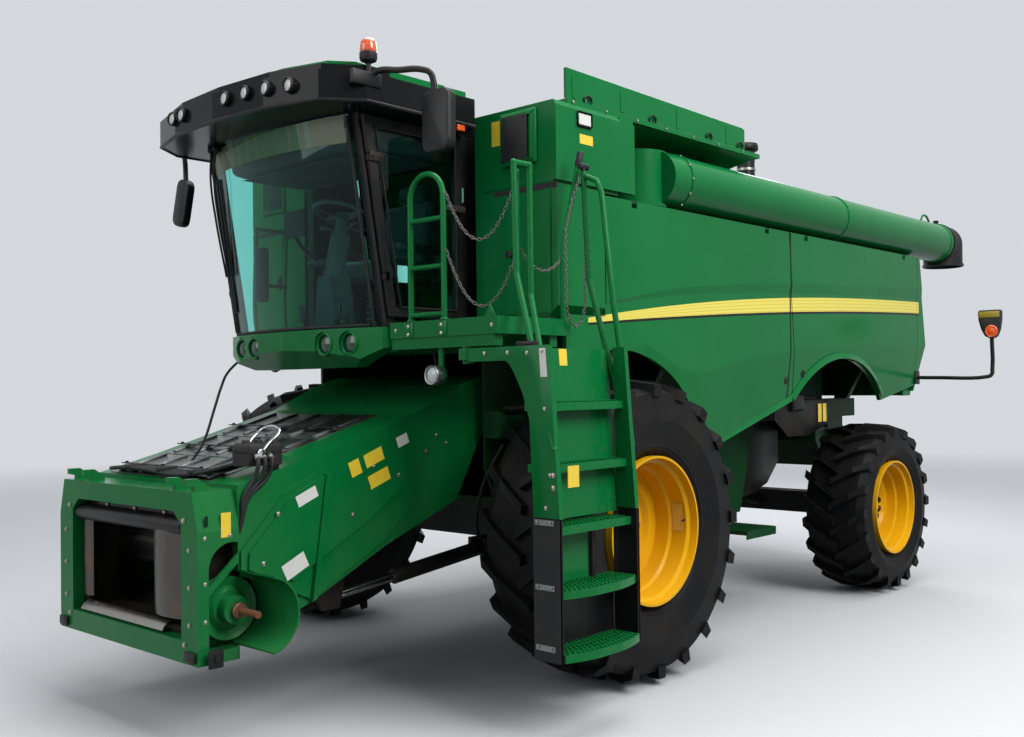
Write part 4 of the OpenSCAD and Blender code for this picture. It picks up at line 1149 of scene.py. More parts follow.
    def seals(self):
        edge = [screen_point(y / 20, 2.083, 0.004) for y in range(-13, 14, 2)]
        finish(hose(edge, 0.010), "windscreen_seal_low", "rubber")
        sides = []
        for side, hand in SIDES:
            line = [screen_point(side * 0.672, 2.09 + 0.114 * i, 0.004) for i in range(11)]
            sides.append(hose(line, 0.009))
            cable = [
                at(door_front_x(z) + 0.012, side * 0.735 + 0.004 * math.sin(z * 31), z)
                for z in (2.10, 2.30, 2.50, 2.72, 2.90, 3.05, 3.20)
            ]
            sides.append(hose(cable, 0.0075))
        finish(sides, "pillar_seals_and_cables", "rubber")
        rows = [
            [screen_point(y / 20, z, 0.0012) for y in range(-13, 14, 2)]
            for z in (3.085, 3.12, 3.16, 3.20, 3.228)
        ]
        finish(curved(rows, 0.0008), "windscreen_sun_film", "sun_film", angle=60)
        rim = [at(x, y, 3.243) for x, y in ROOF_PLAN] + [at(x, -y, 3.243) for x, y in ROOF_PLAN[::-1]]
        finish(hose(rim, 0.011, 3, False), "roof_drip_edge", "black")

    def door(self):
        z0, z1, back = 2.15, 3.205, 0.645
        corners = [
            at(back + 0.045, 0.780, z0 + 0.03), at(door_front_x(z0) - 0.075, 0.780, z0 + 0.03),
            at(door_front_x(z1) - 0.075, 0.780, z1 - 0.04), at(back + 0.045, 0.780, z1 - 0.04),
        ]
        ring = hose(corners + corners[:1], 0.008, 3, False)
        finish(ring, "door_seal", "rubber", "door")
        plate_low, plate_high = at(1.245, 0.776, 2.975), at(1.345, 0.790, 3.030)
        hinges = [block(plate_low, plate_high, 0.006)]
        for x in (1.262, 1.328):
            hinges.append(bolt(at(x, 0.790, 3.0025), (0, 1, 0), 0.008))
        finish(hinges, "door_hinge_plate", "black", "door")
        handle = block(at(0.640, 0.800, 2.755), at(0.805, 0.822, 2.795), 0.009, 3)
        feet = [block(at(x, 0.776, 2.762), at(x + 0.03, 0.803, 2.788), 0.004) for x in (0.65, 0.765)]
        finish([handle, *feet], "door_handle", "plastic", "door")
        label = decal(at(0.600, 0.7415, 2.88), (1, 0, 0), (0, 0, 1), 0.034, 0.085)
        finish(label, "pillar_label", "decal_teal")
        label = decal(at(1.10, 0.7655, 2.37), (1, 0, 0), (0, 0, 1), 0.075, 0.095)
        finish(label, "door_glass_label", "decal_teal", "door")
        marker = block(at(0.768, 0.925, 3.200), at(0.828, 0.948, 3.250), 0.006)
        finish(marker, "roof_corner_marker", "orange")
        arm = block(at(0.755, 0.90, 3.205), at(0.84, 0.926, 3.250), 0.004)
        finish(arm, "roof_marker_bracket", "black")

    def inside(self):
        """The cab's padded headlining."""
        lining = block(at(0.64, -0.66, 3.09), at(1.30, 0.66, 3.236), 0.05, 4)
        inset(lining, (0, 0, -1), (0.05, 0.0), (0.02, -0.02))
        finish(lining, "head_lining", "grey_plastic", angle=40)


class DriverOperator(bpy.types.Operator):
    """Adds the seat's cushions, the steering wheel's hub, the console, levers and screen"""

    bl_idname = "harvester.driver"
    bl_label = "Driver's place"

    # Padding: voxel size, how far a point may move, and the frames that the cloth runs for
    pad_voxel, pad_reach, pad_frames = 0.010, 0.012, 14

    def execute(self, context):
        self.seat()
        self.wheel()
        self.console()
        return {"FINISHED"}

    def cushion(self, name, low, high, lean=0.0, pivot=None):
        """A padded box, blown up against its seams as a cloth and eased back."""
        pad = block(low, high, min(high[i] - low[i] for i in range(3)) * 0.28, 3)
        choose(pad)
        pad.data.remesh_voxel_size = self.pad_voxel
        bpy.ops.object.voxel_remesh()
        rest = [vertex.co.copy() for vertex in pad.data.vertices]
        cloth = pad.modifiers.new("Pad", "CLOTH")
        cloth.settings.use_pressure = True
        cloth.settings.uniform_pressure_force = 4.0
        cloth.settings.quality = 5
        cloth.settings.effector_weights.gravity = 0.0
        cloth.point_cache.frame_start, cloth.point_cache.frame_end = 1, self.pad_frames
        scene = bpy.context.scene
        for moment in range(1, self.pad_frames + 1):
            scene.frame_set(moment)
        shape = pad.evaluated_get(bpy.context.evaluated_depsgraph_get()).data
        blown = [vertex.co.copy() for vertex in shape.vertices]
        pad.modifiers.remove(cloth)
        scene.frame_set(1)
        for vertex, home, away in zip(pad.data.vertices, rest, blown):
            move = away - home
            if move.length >= self.pad_reach:
                move = move.normalized() * self.pad_reach
            vertex.co = home + move
        soft = pad.modifiers.new("Round", "SUBSURF")
        soft.levels = soft.render_levels = 1
        bpy.ops.object.modifier_apply(modifier=soft.name)
        if lean:
            turn = Matrix.Rotation(lean, 4, "Y")
            pad.data.transform(Matrix.Translation(pivot) @ turn @ Matrix.Translation(-pivot))
        finish(pad, name, "cloth", angle=80)

    def seat(self):
        pivot = at(0.36, 0.0, 2.49)
        lean = -math.radians(10)
        base = block(at(0.37, -0.23, 2.375), at(0.84, 0.23, 2.43), 0.02, 3)
        post = block(at(0.42, -0.14, 2.125), at(0.58, 0.14, 2.38), 0.02, 3)
        bellows = [
            block(at(0.40, -0.16, z), at(0.60, 0.16, z + 0.034), 0.012, 2)
            for z in (2.16, 2.20, 2.24, 2.28, 2.32)
        ]
        base = finish([base, post, *bellows], "seat_base", "plastic")
        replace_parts(base, "seat")
        self.cushion("seat_cushion", at(0.36, -0.245, 2.425), at(0.85, 0.245, 2.52))
        self.cushion("seat_bolster_left", at(0.42, 0.175, 2.50), at(0.83, 0.245, 2.545))
        self.cushion("seat_bolster_right", at(0.42, -0.245, 2.50), at(0.83, -0.175, 2.545))
        self.cushion("seat_back", at(0.335, -0.235, 2.50), at(0.44, 0.235, 2.95), lean, pivot)
        self.cushion("seat_headrest", at(0.340, -0.13, 2.955), at(0.43, 0.13, 3.07), lean, pivot)
        arms = []
        for y in (-0.34, 0.29):
            arms.append(block(at(0.31, y, 2.575), at(0.75, y + 0.05, 2.628), 0.016, 3))
            arms.append(block(at(0.31, y + 0.005, 2.40), at(0.37, y + 0.045, 2.60), 0.01))
            low, high = min(y, 0.22), max(y + 0.05, -0.22)
            arms.append(block(at(0.31, low, 2.40), at(0.37, high, 2.44), 0.01))
        finish(arms, "seat_armrests", "grey_plastic")

    def wheel(self):
        centre = at(0.895, 0.0, 2.810)
        normal = Vector((-math.sin(math.radians(20)), 0, math.cos(math.radians(20))))
        pad = turned(
            [(0, 0.006), (0.035, 0.004), (0.052, -0.006), (0.055, -0.03), (0.03, -0.055), (0, -0.055)],
            centre, normal, 32,
        )
        spokes = []
        for angle in (90, 210, 330):
            out = Matrix.Rotation(math.radians(angle), 3, normal) @ Vector((0, 1, 0)).cross(normal)
            out.normalize()
            spokes.append(hose(
                [centre - normal * 0.028, centre + out * 0.09 - normal * 0.022, centre + out * 0.188],
                0.010,
            ))
        knob = centre + Vector((0, 0.19, 0))
        knob = drum(knob, knob + normal * 0.055, 0.017, 20, 0.005)
        finish([pad, knob, *spokes], "steering_wheel_hub", "plastic", angle=40)
        shroud = pipe([(0.985, 0, 2.40), (0.955, 0, 2.55), (0.925, 0, 2.68)], 0.062, 4)
        stalks = [
            pipe([(0.925, 0.03, 2.70), (0.93, 0.11, 2.735), (0.925, 0.155, 2.75)], 0.007),
            pipe([(0.925, -0.03, 2.70), (0.93, -0.11, 2.735), (0.925, -0.165, 2.745)], 0.007),
            drum(at(0.925, -0.165, 2.745), at(0.922, -0.205, 2.750), 0.013, 16, 0.004),
        ]
        finish([shroud, *stalks], "steering_column_shroud", "grey_plastic", angle=40)
        pedals = []
        for y in (-0.19, 0.15, 0.23):
            pad = block(at(1.10, y, 2.14), at(1.112, y + 0.07, 2.25), 0.004)
            middle = y + 0.035
            rod = pipe([(1.105, middle, 2.16), (1.08, middle, 2.10), (1.06, middle, 2.072)], 0.009)
            pedals += [pad, rod]
        finish(pedals, "pedals", "black")

    def console(self):
        top = block(at(0.16, -0.665, 2.555), at(0.70, -0.43, 2.60), 0.02, 3)
        inset(top, (0, 0, 1), (0.02, 0.0), (0.008, -0.006))
        finish(top, "side_console_top", "grey_plastic")
        levers = []
        for x, y, height in (
            (0.58, -0.53, 0.20), (0.44, -0.50, 0.17), (0.34, -0.56, 0.26), (0.28, -0.47, 0.13),
        ):
            foot = at(x, y, 2.595)
            tip = foot + Vector((0.03, 0.01, height))
            levers.append(hose([foot, foot.lerp(tip, 0.5), tip], 0.006))
            levers.append(drum(tip - Vector((0, 0, 0.02)), tip + Vector((0.004, 0, 0.03)), 0.017, 18, 0.007))
            levers.append(drum(foot - Vector((0, 0, 0.004)), foot + Vector((0, 0, 0.02)), 0.024, 18, 0.008))
        finish(levers, "hand_levers", "plastic", angle=40)
        grip = pipe([(0.62, -0.30, 2.62), (0.66, -0.30, 2.70), (0.665, -0.30, 2.77)], 0.020, 4)
        screen = block(at(0.90, -0.60, 2.72), at(0.93, -0.37, 2.90), 0.012, 3)
        inset(screen, (-1, 0, 0), (0.014, 0.0), (0.003, -0.004))
        stem = pipe([(0.66, -0.55, 2.58), (0.80, -0.55, 2.66), (0.915, -0.50, 2.74)], 0.014)
        boxes = block(at(1.02, -0.69, 2.30), at(1.10, -0.62, 2.66), 0.02, 3)
        finish([grip, screen, stem, boxes], "display_and_grip", "plastic", angle=40)
        # the guard rail outside the cab's right window
        rail = [
            pipe([(x, -0.765, 2.035), (x, -0.90, 2.05), (x, -0.95, 2.12), (x, -0.95, 2.84)], 0.014)
            for x in (0.66, 0.905)
        ]
        for z in (2.445, 2.83):
            rail.append(drum(at(0.66, -0.95, z), at(0.905, -0.95, z), 0.013, 16))
        finish(rail, "right_guard_rail", "green", angle=40)


class PlatformOperator(bpy.types.Operator):
    """Adds the platform's bolts, tread, step lamp, chains and rails"""

    bl_idname = "harvester.platform"
    bl_label = "Platform fittings"

    def execute(self, context):
        self.edge()
        self.tread()
        self.step_lamp()
        self.chains()
        self.rails()
        return {"FINISHED"}

    def edge(self):
        """Bolts, rail feet and the gusset along the front edge."""
        bolts = []
        for y in (0.905, 1.165):
            for z in (2.018, 2.062):
                bolts.append(bolt(at(1.2, y + 0.02, z), (1, 0, 0), 0.011))
        for y in (0.82, 1.55):
            bolts.append(bolt(at(1.2, y, 2.045), (1, 0, 0), 0.008))
        finish(bolts, "platform_bolts", "bolt")
        feet = []
        for y in (0.93, 1.19):
            feet.append(block(at(1.199, y - 0.035, 2.003), at(1.206, y + 0.035, 2.083), 0.003))
            feet.append(turned(
                [(0.0165, 0), (0.024, 0), (0.024, 0.004), (0.019, 0.012), (0.0165, 0.012)],
                at(1.185, y, 2.0895), (0, 0, 1), 24,
            ))
        gusset = [(1.50, 2.089), (1.575, 2.089), (1.54, 2.155)]
        gusset = plate([at(1.194, y, z) for y, z in gusset], 0.006, 0.001)
        finish([*feet, gusset], "rail_feet", "green")

    def tread(self):
        """Raised studs of the tread plate, turned by turns."""
        treads = []
        for i in range(9):
            for j in range(10):
                place = at(0.66 + 0.058 * i, 0.84 + 0.078 * j, 2.0895)
                tilt = Matrix.Rotation(math.radians(45 if (i + j) % 2 else -45), 4, "Z")
                treads.append(Matrix.Translation(place) @ tilt)
        stud = block((-0.017, -0.0035, 0), (0.017, 0.0035, 0.003), 0.0014, 1)
        finish(copies(stud, treads), "platform_tread", "deep")

    def step_lamp(self):
        face = at(1.2255, 1.136, 1.795)
        ring = turned(
            [(0.040, 0.0), (0.042, 0.010), (0.050, 0.012), (0.054, 0.004), (0.054, -0.03),
             (0.0505, -0.03), (0.0505, -0.001)], face, (1, 0, 0), 36,
        )
        finish(ring, "step_lamp_ring", "sheet", angle=40)
        glass = turned(
            [(0, 0.010), (0.02, 0.008), (0.041, 0.002), (0.041, 0.0), (0, 0.0)], face, (1, 0, 0), 36
        )
        finish(glass, "step_lamp_lens", "clear", angle=60)
        wire = pipe([(1.17, 1.12, 1.79), (1.10, 1.04, 1.74), (1.02, 0.96, 1.80), (1.0, 0.90, 1.96)], 0.005)
        finish(wire, "step_lamp_wire", "hose")

    def rails(self):
        """The rails beside the door and the gate, with the leaning post and its cap."""
        loop = [at(1.185, 0.93, 2.088), at(1.185, 0.93, 2.75)]
        for i in range(1, 12):
            angle = math.pi - math.pi * i / 12
            loop.append(at(1.185, 1.06 + 0.13 * math.cos(angle), 2.75 + 0.13 * math.sin(angle)))
        loop += [at(1.185, 1.19, 2.75), at(1.185, 1.19, 2.088)]
        tubes = [hose(loop, 0.016, 4, False)]
        for z in (2.122, 2.378, 2.634):
            tubes.append(drum(at(1.185, 0.93, z), at(1.185, 1.19, z), 0.014, 20))
        leaning = [(0.65, 1.565, 2.088), (0.65, 1.565, 2.30), (0.645, 1.565, 2.44), (0.630, 1.567, 2.53),
                   (0.570, 1.572, 2.76), (0.505, 1.578, 3.00)]
        tubes.append(pipe(leaning, 0.016, 4))
        tubes.append(drum(at(1.01, 1.565, 2.088), at(1.01, 1.565, 2.86), 0.010, 18, 0.003))
        for z in (2.45, 2.83):
            hook = [(1.01, 1.565, z - 0.02), (1.03, 1.56, z - 0.015), (1.035, 1.56, z + 0.01)]
            tubes.append(pipe(hook, 0.005))
        tubes = finish(tubes, "gate_and_door_rails", "green", angle=40)
        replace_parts(tubes, "handrails")
        cap = drum(at(0.521, 1.5767, 2.94), at(0.499, 1.5786, 3.022), 0.0195, 24, 0.005)
        finish(cap, "rail_cap", "plastic", angle=40)

    def chains(self):
        hung = [
            sagging(at(1.180, 1.206, 2.457), at(1.010, 1.565, 2.450), 0.30),
            sagging(at(1.180, 1.206, 2.760), at(1.010, 1.565, 2.830), 0.29),
            sagging(at(0.998, 1.565, 2.450), at(0.662, 1.565, 2.420), 0.09),
        ]
        for index, points in enumerate(hung, 1):
            finish(chain(points), f"guard_chain_{index}", "chain", angle=60)
        line = [(0.545, 1.625, 2.90), (0.53, 1.622, 2.60), (0.53, 1.622, 2.17), (0.56, 1.622, 2.085),
                (0.61, 1.622, 2.050), (0.66, 1.622, 2.075), (0.69, 1.622, 2.15), (0.689, 1.622, 2.573),
                (0.63, 1.624, 2.74), (0.56, 1.628, 2.89)]
        finish(chain([at(*point) for point in line]), "lock_chain", "chain", "ladder", angle=60)


class LadderOperator(bpy.types.Operator):
    """Adds the ladder's treads, covers, rubber flaps, outer rail, labels and bolts"""

    bl_idname = "harvester.ladder"
    bl_label = "Ladder fittings"

    # Height of the lowest step and the rise to each next one
    first_step, rise = 0.440, 0.302

    def execute(self, context):
        self.treads()
        self.covers()
        self.rail()
        self.labels()
        self.bolts()
        return {"FINISHED"}

    def treads(self):
        """Rows of teeth on the steps, whose two lowest ones bulge outwards."""
        tooth = block((-0.005, -0.011, 0), (0.005, 0.011, 0.007), 0.002, 1)
        places = []
        for step in range(5):
            z = self.first_step + self.rise * step
            front = 1.985 - (z - self.first_step) * 0.06
            depth = 5 if step < 2 else 4
            for row in range(depth):
                for column in range(19):
                    x = 0.605 + 0.0305 * column
                    bulge = 0.055 * (1 - ((x - 0.88) / 0.305) ** 2) if step < 2 else 0.0
                    y = front - 0.14 + row * 0.034 + max(bulge, 0) * row / depth
                    places.append(at(x, y, z - 0.0005))
        finish(copies(tooth, places), "ladder_treads", "green", "ladder")

    def covers(self):
        """The front plate, the rubber flaps with their clamp strips, and the sheets behind the steps."""
        cover = plate(
            [at(1.2003, y, z) for y, z in (
                (1.985, 1.092), (1.924, 1.930), (1.600, 1.930), (1.600, 1.872), (1.655, 1.862),
                (1.700, 1.800), (1.755, 1.700), (1.800, 1.565), (1.820, 1.092),
            )], 0.003, 0.0008,
        )
        finish(cover, "ladder_front_cover", "green", "ladder")
        flaps, bands = [], []
        for x, out in ((0.5597, -0.004), (1.2003, 0.004)):
            low, high = sorted((x, x + out))
            flaps.append(block(at(low, 1.815, 0.400), at(high, 1.984, 1.086), 0.0012, 1))
            for z in (0.45, 0.742, 1.055):
                low, high = sorted((x + out, x + out * 1.8))
                bands.append(block(at(low, 1.828, z), at(high, 1.950, z + 0.028), 0.001, 1))
                for y in (1.845, 1.930):
                    bands.append(bolt(at(x + out * 1.8, y, z + 0.014), (out, 0, 0), 0.008))
        finish(flaps, "ladder_rubber_flaps", "rubber", "ladder")
        finish(bands, "rubber_clamp_strips", "sheet", "ladder")
        riser = block(at(0.79, 1.822, 0.745), at(1.192, 1.828, 1.000), 0.002, 1)
        finish(riser, "ladder_riser", "green", "ladder")
        dark = [block(at(0.57, 1.816, 0.44), at(1.192, 1.820, 0.742), 0.002, 1),
                drum(at(0.765, 1.835, 0.742), at(0.765, 1.835, 1.04), 0.014, 20)]
        finish(dark, "ladder_lower_screen", "black", "ladder")

    def rail(self):
        """The outer rail and the black grip on its top."""
        rail = [(0.566, 1.950, 1.405), (0.566, 1.922, 1.662), (0.566, 1.840, 2.183), (0.560, 1.769, 2.765),
                (0.556, 1.735, 2.835), (0.554, 1.655, 2.872)]
        rail = pipe(rail, 0.016, 4, False)
        finish(rail, "ladder_outer_rail", "green", "ladder", angle=60)
        grip = [drum(at(0.554, 1.640, 2.905), at(0.554, 1.640, 2.935), 0.013, 18)]
        for x in (0.527, 0.581):
            grip.append(drum(at(x - 0.010, 1.640, 2.925), at(x + 0.010, 1.640, 2.925), 0.019, 20, 0.006))
        grip.append(drum(at(0.527, 1.640, 2.928), at(0.581, 1.640, 2.928), 0.015, 20, 0.005))
        finish(grip, "ladder_grip", "plastic", "ladder", angle=40)

    def labels(self):
        """Blank labels and the blank tag at the steps."""
        label = decal(at(1.2036, 1.893, 1.845), (0, 1, 0), (0, -0.07, 1), 0.042, 0.14)
        finish(label, "ladder_label_white", "decal_white", "ladder")
        label = decal(at(0.945, 1.8035, 1.875), (1, 0, 0), (0, -0.0714, 1), 0.062, 0.085)
        finish(label, "ladder_label_yellow", "decal_yellow", "ladder")
        tag = decal(at(1.10, 1.988, 1.29), (1, 0, 0), (0, 0, 1), 0.085, 0.105, 0.003)
        finish(tag, "ladder_tag", "decal_yellow", "ladder")

    def bolts(self):
        """Bolts on the front plate, and the latch that holds the ladder."""
        bolts = []
        for y, z in (
            (1.66, 1.90), (1.79, 1.895), (1.885, 1.90), (1.90, 1.62), (1.93, 1.30), (1.90, 1.14),
            (1.50, 1.90),
        ):
            bolts.append(bolt(at(1.2033, y, z), (1, 0, 0), 0.008))
        for z in (1.30, 1.24):
            bolts.append(bolt(at(1.2033, 1.95, z), (1, 0, 0), 0.010))
        finish(bolts, "ladder_bolts", "bolt", "ladder")
        latch = [
            block(at(1.12, 1.70, 1.928), at(1.19, 1.80, 1.955), 0.008),
            pipe([(1.155, 1.75, 1.95), (1.155, 1.76, 1.985), (1.13, 1.77, 1.995)], 0.007),
        ]
        finish(latch, "ladder_latch", "black", "ladder")


class FeederOperator(bpy.types.Operator):
    """Adds the feeder house's worn sheet, hoses, coupler handle, bolts and labels"""

    bl_idname = "harvester.feeder"
    bl_label = "Feeder house fittings"

    def execute(self, context):
        radius = context.scene.harvester_sizes.hose
        self.top_sheet()
        self.coupler(radius)
        self.face()
        self.drive()
        self.labels()
        return {"FINISHED"}

    def slope(self, x):
        """Height of the feeder house's top at a distance ahead of the front axle."""
        bend_x, bend_z = FEEDER_BEND
        if x > bend_x:
            return bend_z - (x - bend_x) * FEEDER_SLOPES[0]
        return bend_z + (bend_x - x) * FEEDER_SLOPES[1]

    def top_sheet(self):
        sheets, ribs = [], []
        for x0, x1 in ((1.02, 1.45), (1.46, 1.785), (1.80, 2.13)):
            z0, z1 = self.slope(x0) + 0.0005, self.slope(x1) + 0.0005
            sheets.append(plate(
                [at(x0, -0.62, z0), at(x1, -0.62, z1), at(x1, 0.44, z1), at(x0, 0.44, z0)], 0.003, 0.0008
            ))
            for y in (-0.56, -0.33, -0.10, 0.13, 0.36):
                low = self.slope(x0 + 0.02) + 0.003, self.slope(x1 - 0.02) + 0.003
                ribs.append(plate(
                    [at(x0 + 0.02, y, low[0]), at(x1 - 0.02, y, low[1]),
                     at(x1 - 0.02, y + 0.03, low[1]), at(x0 + 0.02, y + 0.03, low[0])], 0.014, 0.003
                ))
        for piece in sheets + ribs:
            turn_outwards(piece)
        finish(sheets, "feeder_top_sheet", "sheet", "feeder")
        finish(ribs, "feeder_top_ribs", "sheet", "feeder")
        straps = []
        for x in (1.30, 1.66, 2.02):
            z = self.slope(x) + 0.018
            straps.append(block(at(x, -0.63, z), at(x + 0.04, 0.46, z + 0.006), 0.002))
            for y in (-0.60, -0.2, 0.2, 0.43):
                straps.append(bolt(at(x + 0.02, y, z + 0.006), (0, 0, 1), 0.009))
        finish(straps, "feeder_top_straps", "black", "feeder")

    def coupler(self, radius):
        shell = block(at(1.875, 0.555, 1.40), at(2.085, 0.712, 1.462), 0.022, 4)
        knobs = [
            drum(at(x, 0.635, 1.455), at(x, 0.635, 1.476), 0.022, 20, 0.006) for x in (1.91, 1.98, 2.05)
        ]
        finish([shell, *knobs], "coupler_cover", "plastic", "feeder", angle=40)
        handle = pipe(
            [(2.02, 0.722, 1.41), (1.97, 0.722, 1.46), (1.905, 0.722, 1.515), (1.895, 0.70, 1.530),
             (1.895, 0.57, 1.530), (1.905, 0.548, 1.515), (1.97, 0.548, 1.46), (2.02, 0.548, 1.41)],
            0.008,
        )
        pivots = [
            drum(at(2.02, y, 1.41), at(2.02, y + 0.022, 1.41), 0.024, 24, 0.004) for y in (0.537, 0.713)
        ]
        finish([handle, *pivots], "coupler_handle", "chrome", "feeder", angle=40)
        # hoses from the coupler along the top edge and down into the side pocket
        runs, ends = [], []
        for i in range(5):
            x = 1.90 + 0.035 * i
            runs.append(pipe(
                [(x, 0.58 + 0.012 * i, 1.365), (x + 0.01, 0.52, 1.355 - 0.002 * i),
                 (2.06 + 0.02 * i, 0.42, 1.315), (2.085 + 0.02 * i, 0.20, 1.300 - 0.003 * i),
                 (2.075 + 0.022 * i, -0.10 - 0.03 * i, 1.302), (2.08 + 0.02 * i, -0.46, 1.300),
                 (2.10 + 0.012 * i, -0.58, 1.29)], radius,
            ))
            ends.append(drum(at(x, 0.556, 1.368), at(x, 0.600, 1.362), radius * 1.5, 6, 0.002))
        for i in range(3):
            x = 1.96 + 0.04 * i
            runs.append(pipe(
                [(x, 0.70, 1.40), (x + 0.01, 0.745, 1.37), (x + 0.03, 0.735, 1.29),
                 (2.095 + 0.015 * i, 0.728, 1.20), (2.13, 0.722, 1.10), (2.14, 0.70, 1.02)], radius,
            ))
            ends.append(drum(at(x, 0.702, 1.402), at(x + 0.004, 0.735, 1.386), radius * 1.5, 6, 0.002))
        clips = []
        for y in (0.30, -0.02, -0.36):
            clips.append(block(at(2.065, y, 1.298), at(2.185, y + 0.03, 1.322), 0.006))
        finish(runs, "feeder_hoses", "hose", "feeder", angle=60)
        finish(ends, "feeder_hose_fittings", "bolt", "feeder")
        finish(clips, "feeder_hose_clips", "plastic", "feeder")

    def face(self):
        lip = curved(
            [[at(2.310, y, 0.572), at(2.330, y, 0.566), at(2.350, y, 0.552), at(2.362, y, 0.530)]
             for y in (-0.51, -0.2, 0.1, 0.36)], 0.006,
        )
        guards = []
        # the left one is wide and bent round the corner, the right one narrow
        for outline in (
            [(0.510, 0.0), (0.490, 0.018), (0.450, 0.036), (0.400, 0.047), (0.340, 0.050),
             (0.285, 0.042), (0.240, 0.024), (0.215, 0.0)],
            [(-0.560, 0.0), (-0.545, 0.016), (-0.515, 0.026), (-0.485, 0.022), (-0.462, 0.0)],
        ):
            lines = [
                [at(2.312 + out * fade, y, z) for y, out in outline]
                for z, fade in ((0.600, 0.75), (0.66, 0.95), (0.80, 1.0), (0.95, 1.0), (1.045, 1.0))
            ]
            guards.append(curved(lines, 0.004))
        for y in (0.49, 0.25, -0.54):
            for z in (0.64, 1.01):
                guards.append(bolt(at(2.313, y, z), (1, 0, 0), 0.010))
        finish(guards, "mouth_guards", "worn", "feeder", angle=40)
        finish(lip, "mouth_lip", "steel", "feeder", angle=60)
        tube = drum(at(2.330, -0.560, 1.062), at(2.330, 0.545, 1.062), 0.043, 40, 0.010, 3)
        finish(tube, "mouth_top_tube", "black", "feeder", angle=40)
        bolts = []
        for side in (1, -1):
            for z in (0.60, 0.78, 0.96):
                bolts.append(bolt(at(2.381, side * 0.645, z), (1, 0, 0), 0.009))
            for z in (0.50, 1.10):
                bolts.append(bolt(at(2.381, side * 0.60, z), (1, 0, 0), 0.011))
            for x, z in ((2.20, 1.02), (2.34, 1.02), (2.34, 0.62), (2.34, 0.80)):
                bolts.append(bolt(at(x, side * 0.72, z), (0, side, 0), 0.008))
        for y in (-0.30, 0.0, 0.30):
            bolts.append(bolt(at(2.311, y, 1.115), (1, 0, 0), 0.011))
        finish(bolts, "face_bolts", "bolt", "feeder")
        hooks = []
        for side, hand in SIDES:
            pin = at(2.31, side * 0.745, 0.445), at(2.31, side * 0.785, 0.445)
            y = side * 0.66
            hooks.append(side_block(side, (2.27, 0.752, 0.40), (2.35, 0.772, 0.49), 0.008))
            hooks.append(drum(*pin, 0.017, 20, 0.004))
            hooks.append(block(at(2.383, y - 0.045, 0.425), at(2.397, y + 0.045, 0.475), 0.004))
        finish(hooks, "lower_latches", "black", "feeder")
        slots = [
            block(at(2.322, y - 0.001, 1.075), at(2.340, y + 0.001, 1.125), 0.0005, 1)
            for y in (0.7205, -0.7205)
        ]
        finish(slots, "face_slots", "black", "feeder")

    def drive(self):
        ring = bolt(at(DRIVE_X, 0.6965, DRIVE_Z + 0.052), (0, 1, 0), 0.010)
        ring = copies(ring, around(at(DRIVE_X, 0, DRIVE_Z), "Y", 6))
        collar = turned(
            [(0.0342, 0.0), (0.038, 0.001), (0.039, 0.005), (0.039, 0.013), (0.037, 0.017),
             (0.0342, 0.018)], at(DRIVE_X, 0.772, DRIVE_Z), (0, 1, 0), 32,
        )
        finish([*ring, collar], "drive_bolts_and_collar", "rusty", "header_drive", angle=40)
        screws = []
        for side in (1, -1):
            for x, z in (
                (1.93, 1.10), (1.66, 1.02), (1.30, 1.30), (1.12, 1.24), (1.45, 1.05), (2.02, 0.86),
            ):
                screws.append(bolt(at(x, side * 0.738, z), (0, side, 0), 0.010))
            for x, z in ((0.80, 1.45), (0.88, 1.36), (0.72, 1.40)):
                screws.append(bolt(at(x, side * 0.710, z), (0, side, 0), 0.009))
        finish(screws, "side_cover_screws", "bolt", "feeder")

    def labels(self):
        face = 0.7384
        yellow, white = [], []
        # Group, x, z, width, height, tilt in degrees
        table = [
            (white, 1.751, 1.173, 0.135, 0.060, -22), (white, 1.828, 0.823, 0.150, 0.085, -25),
            (white, 1.088, 1.434, 0.085, 0.060, -20), (yellow, 1.430, 1.300, 0.075, 0.085, -20),
            (yellow, 1.298, 1.350, 0.135, 0.075, -20), (yellow, 1.261, 1.235, 0.150, 0.075, -20),
        ]
        for group, x, z, width, height, tilt in table:
            t = math.radians(-tilt)
            for side in (1, -1):
                group.append(decal(
                    at(x, side * face, z), (-side * math.cos(t), 0, side * math.sin(t)),
                    (math.sin(t), 0, math.cos(t)), width, height,
                ))
        yellow.append(decal(at(2.223, 0.7205, 1.073), (-1, 0, 0), (0, 0, 1), 0.055, 0.12))
        finish(white, "feeder_labels_white", "decal_white", "feeder")
        finish(yellow, "feeder_labels_yellow", "decal_yellow", "feeder")


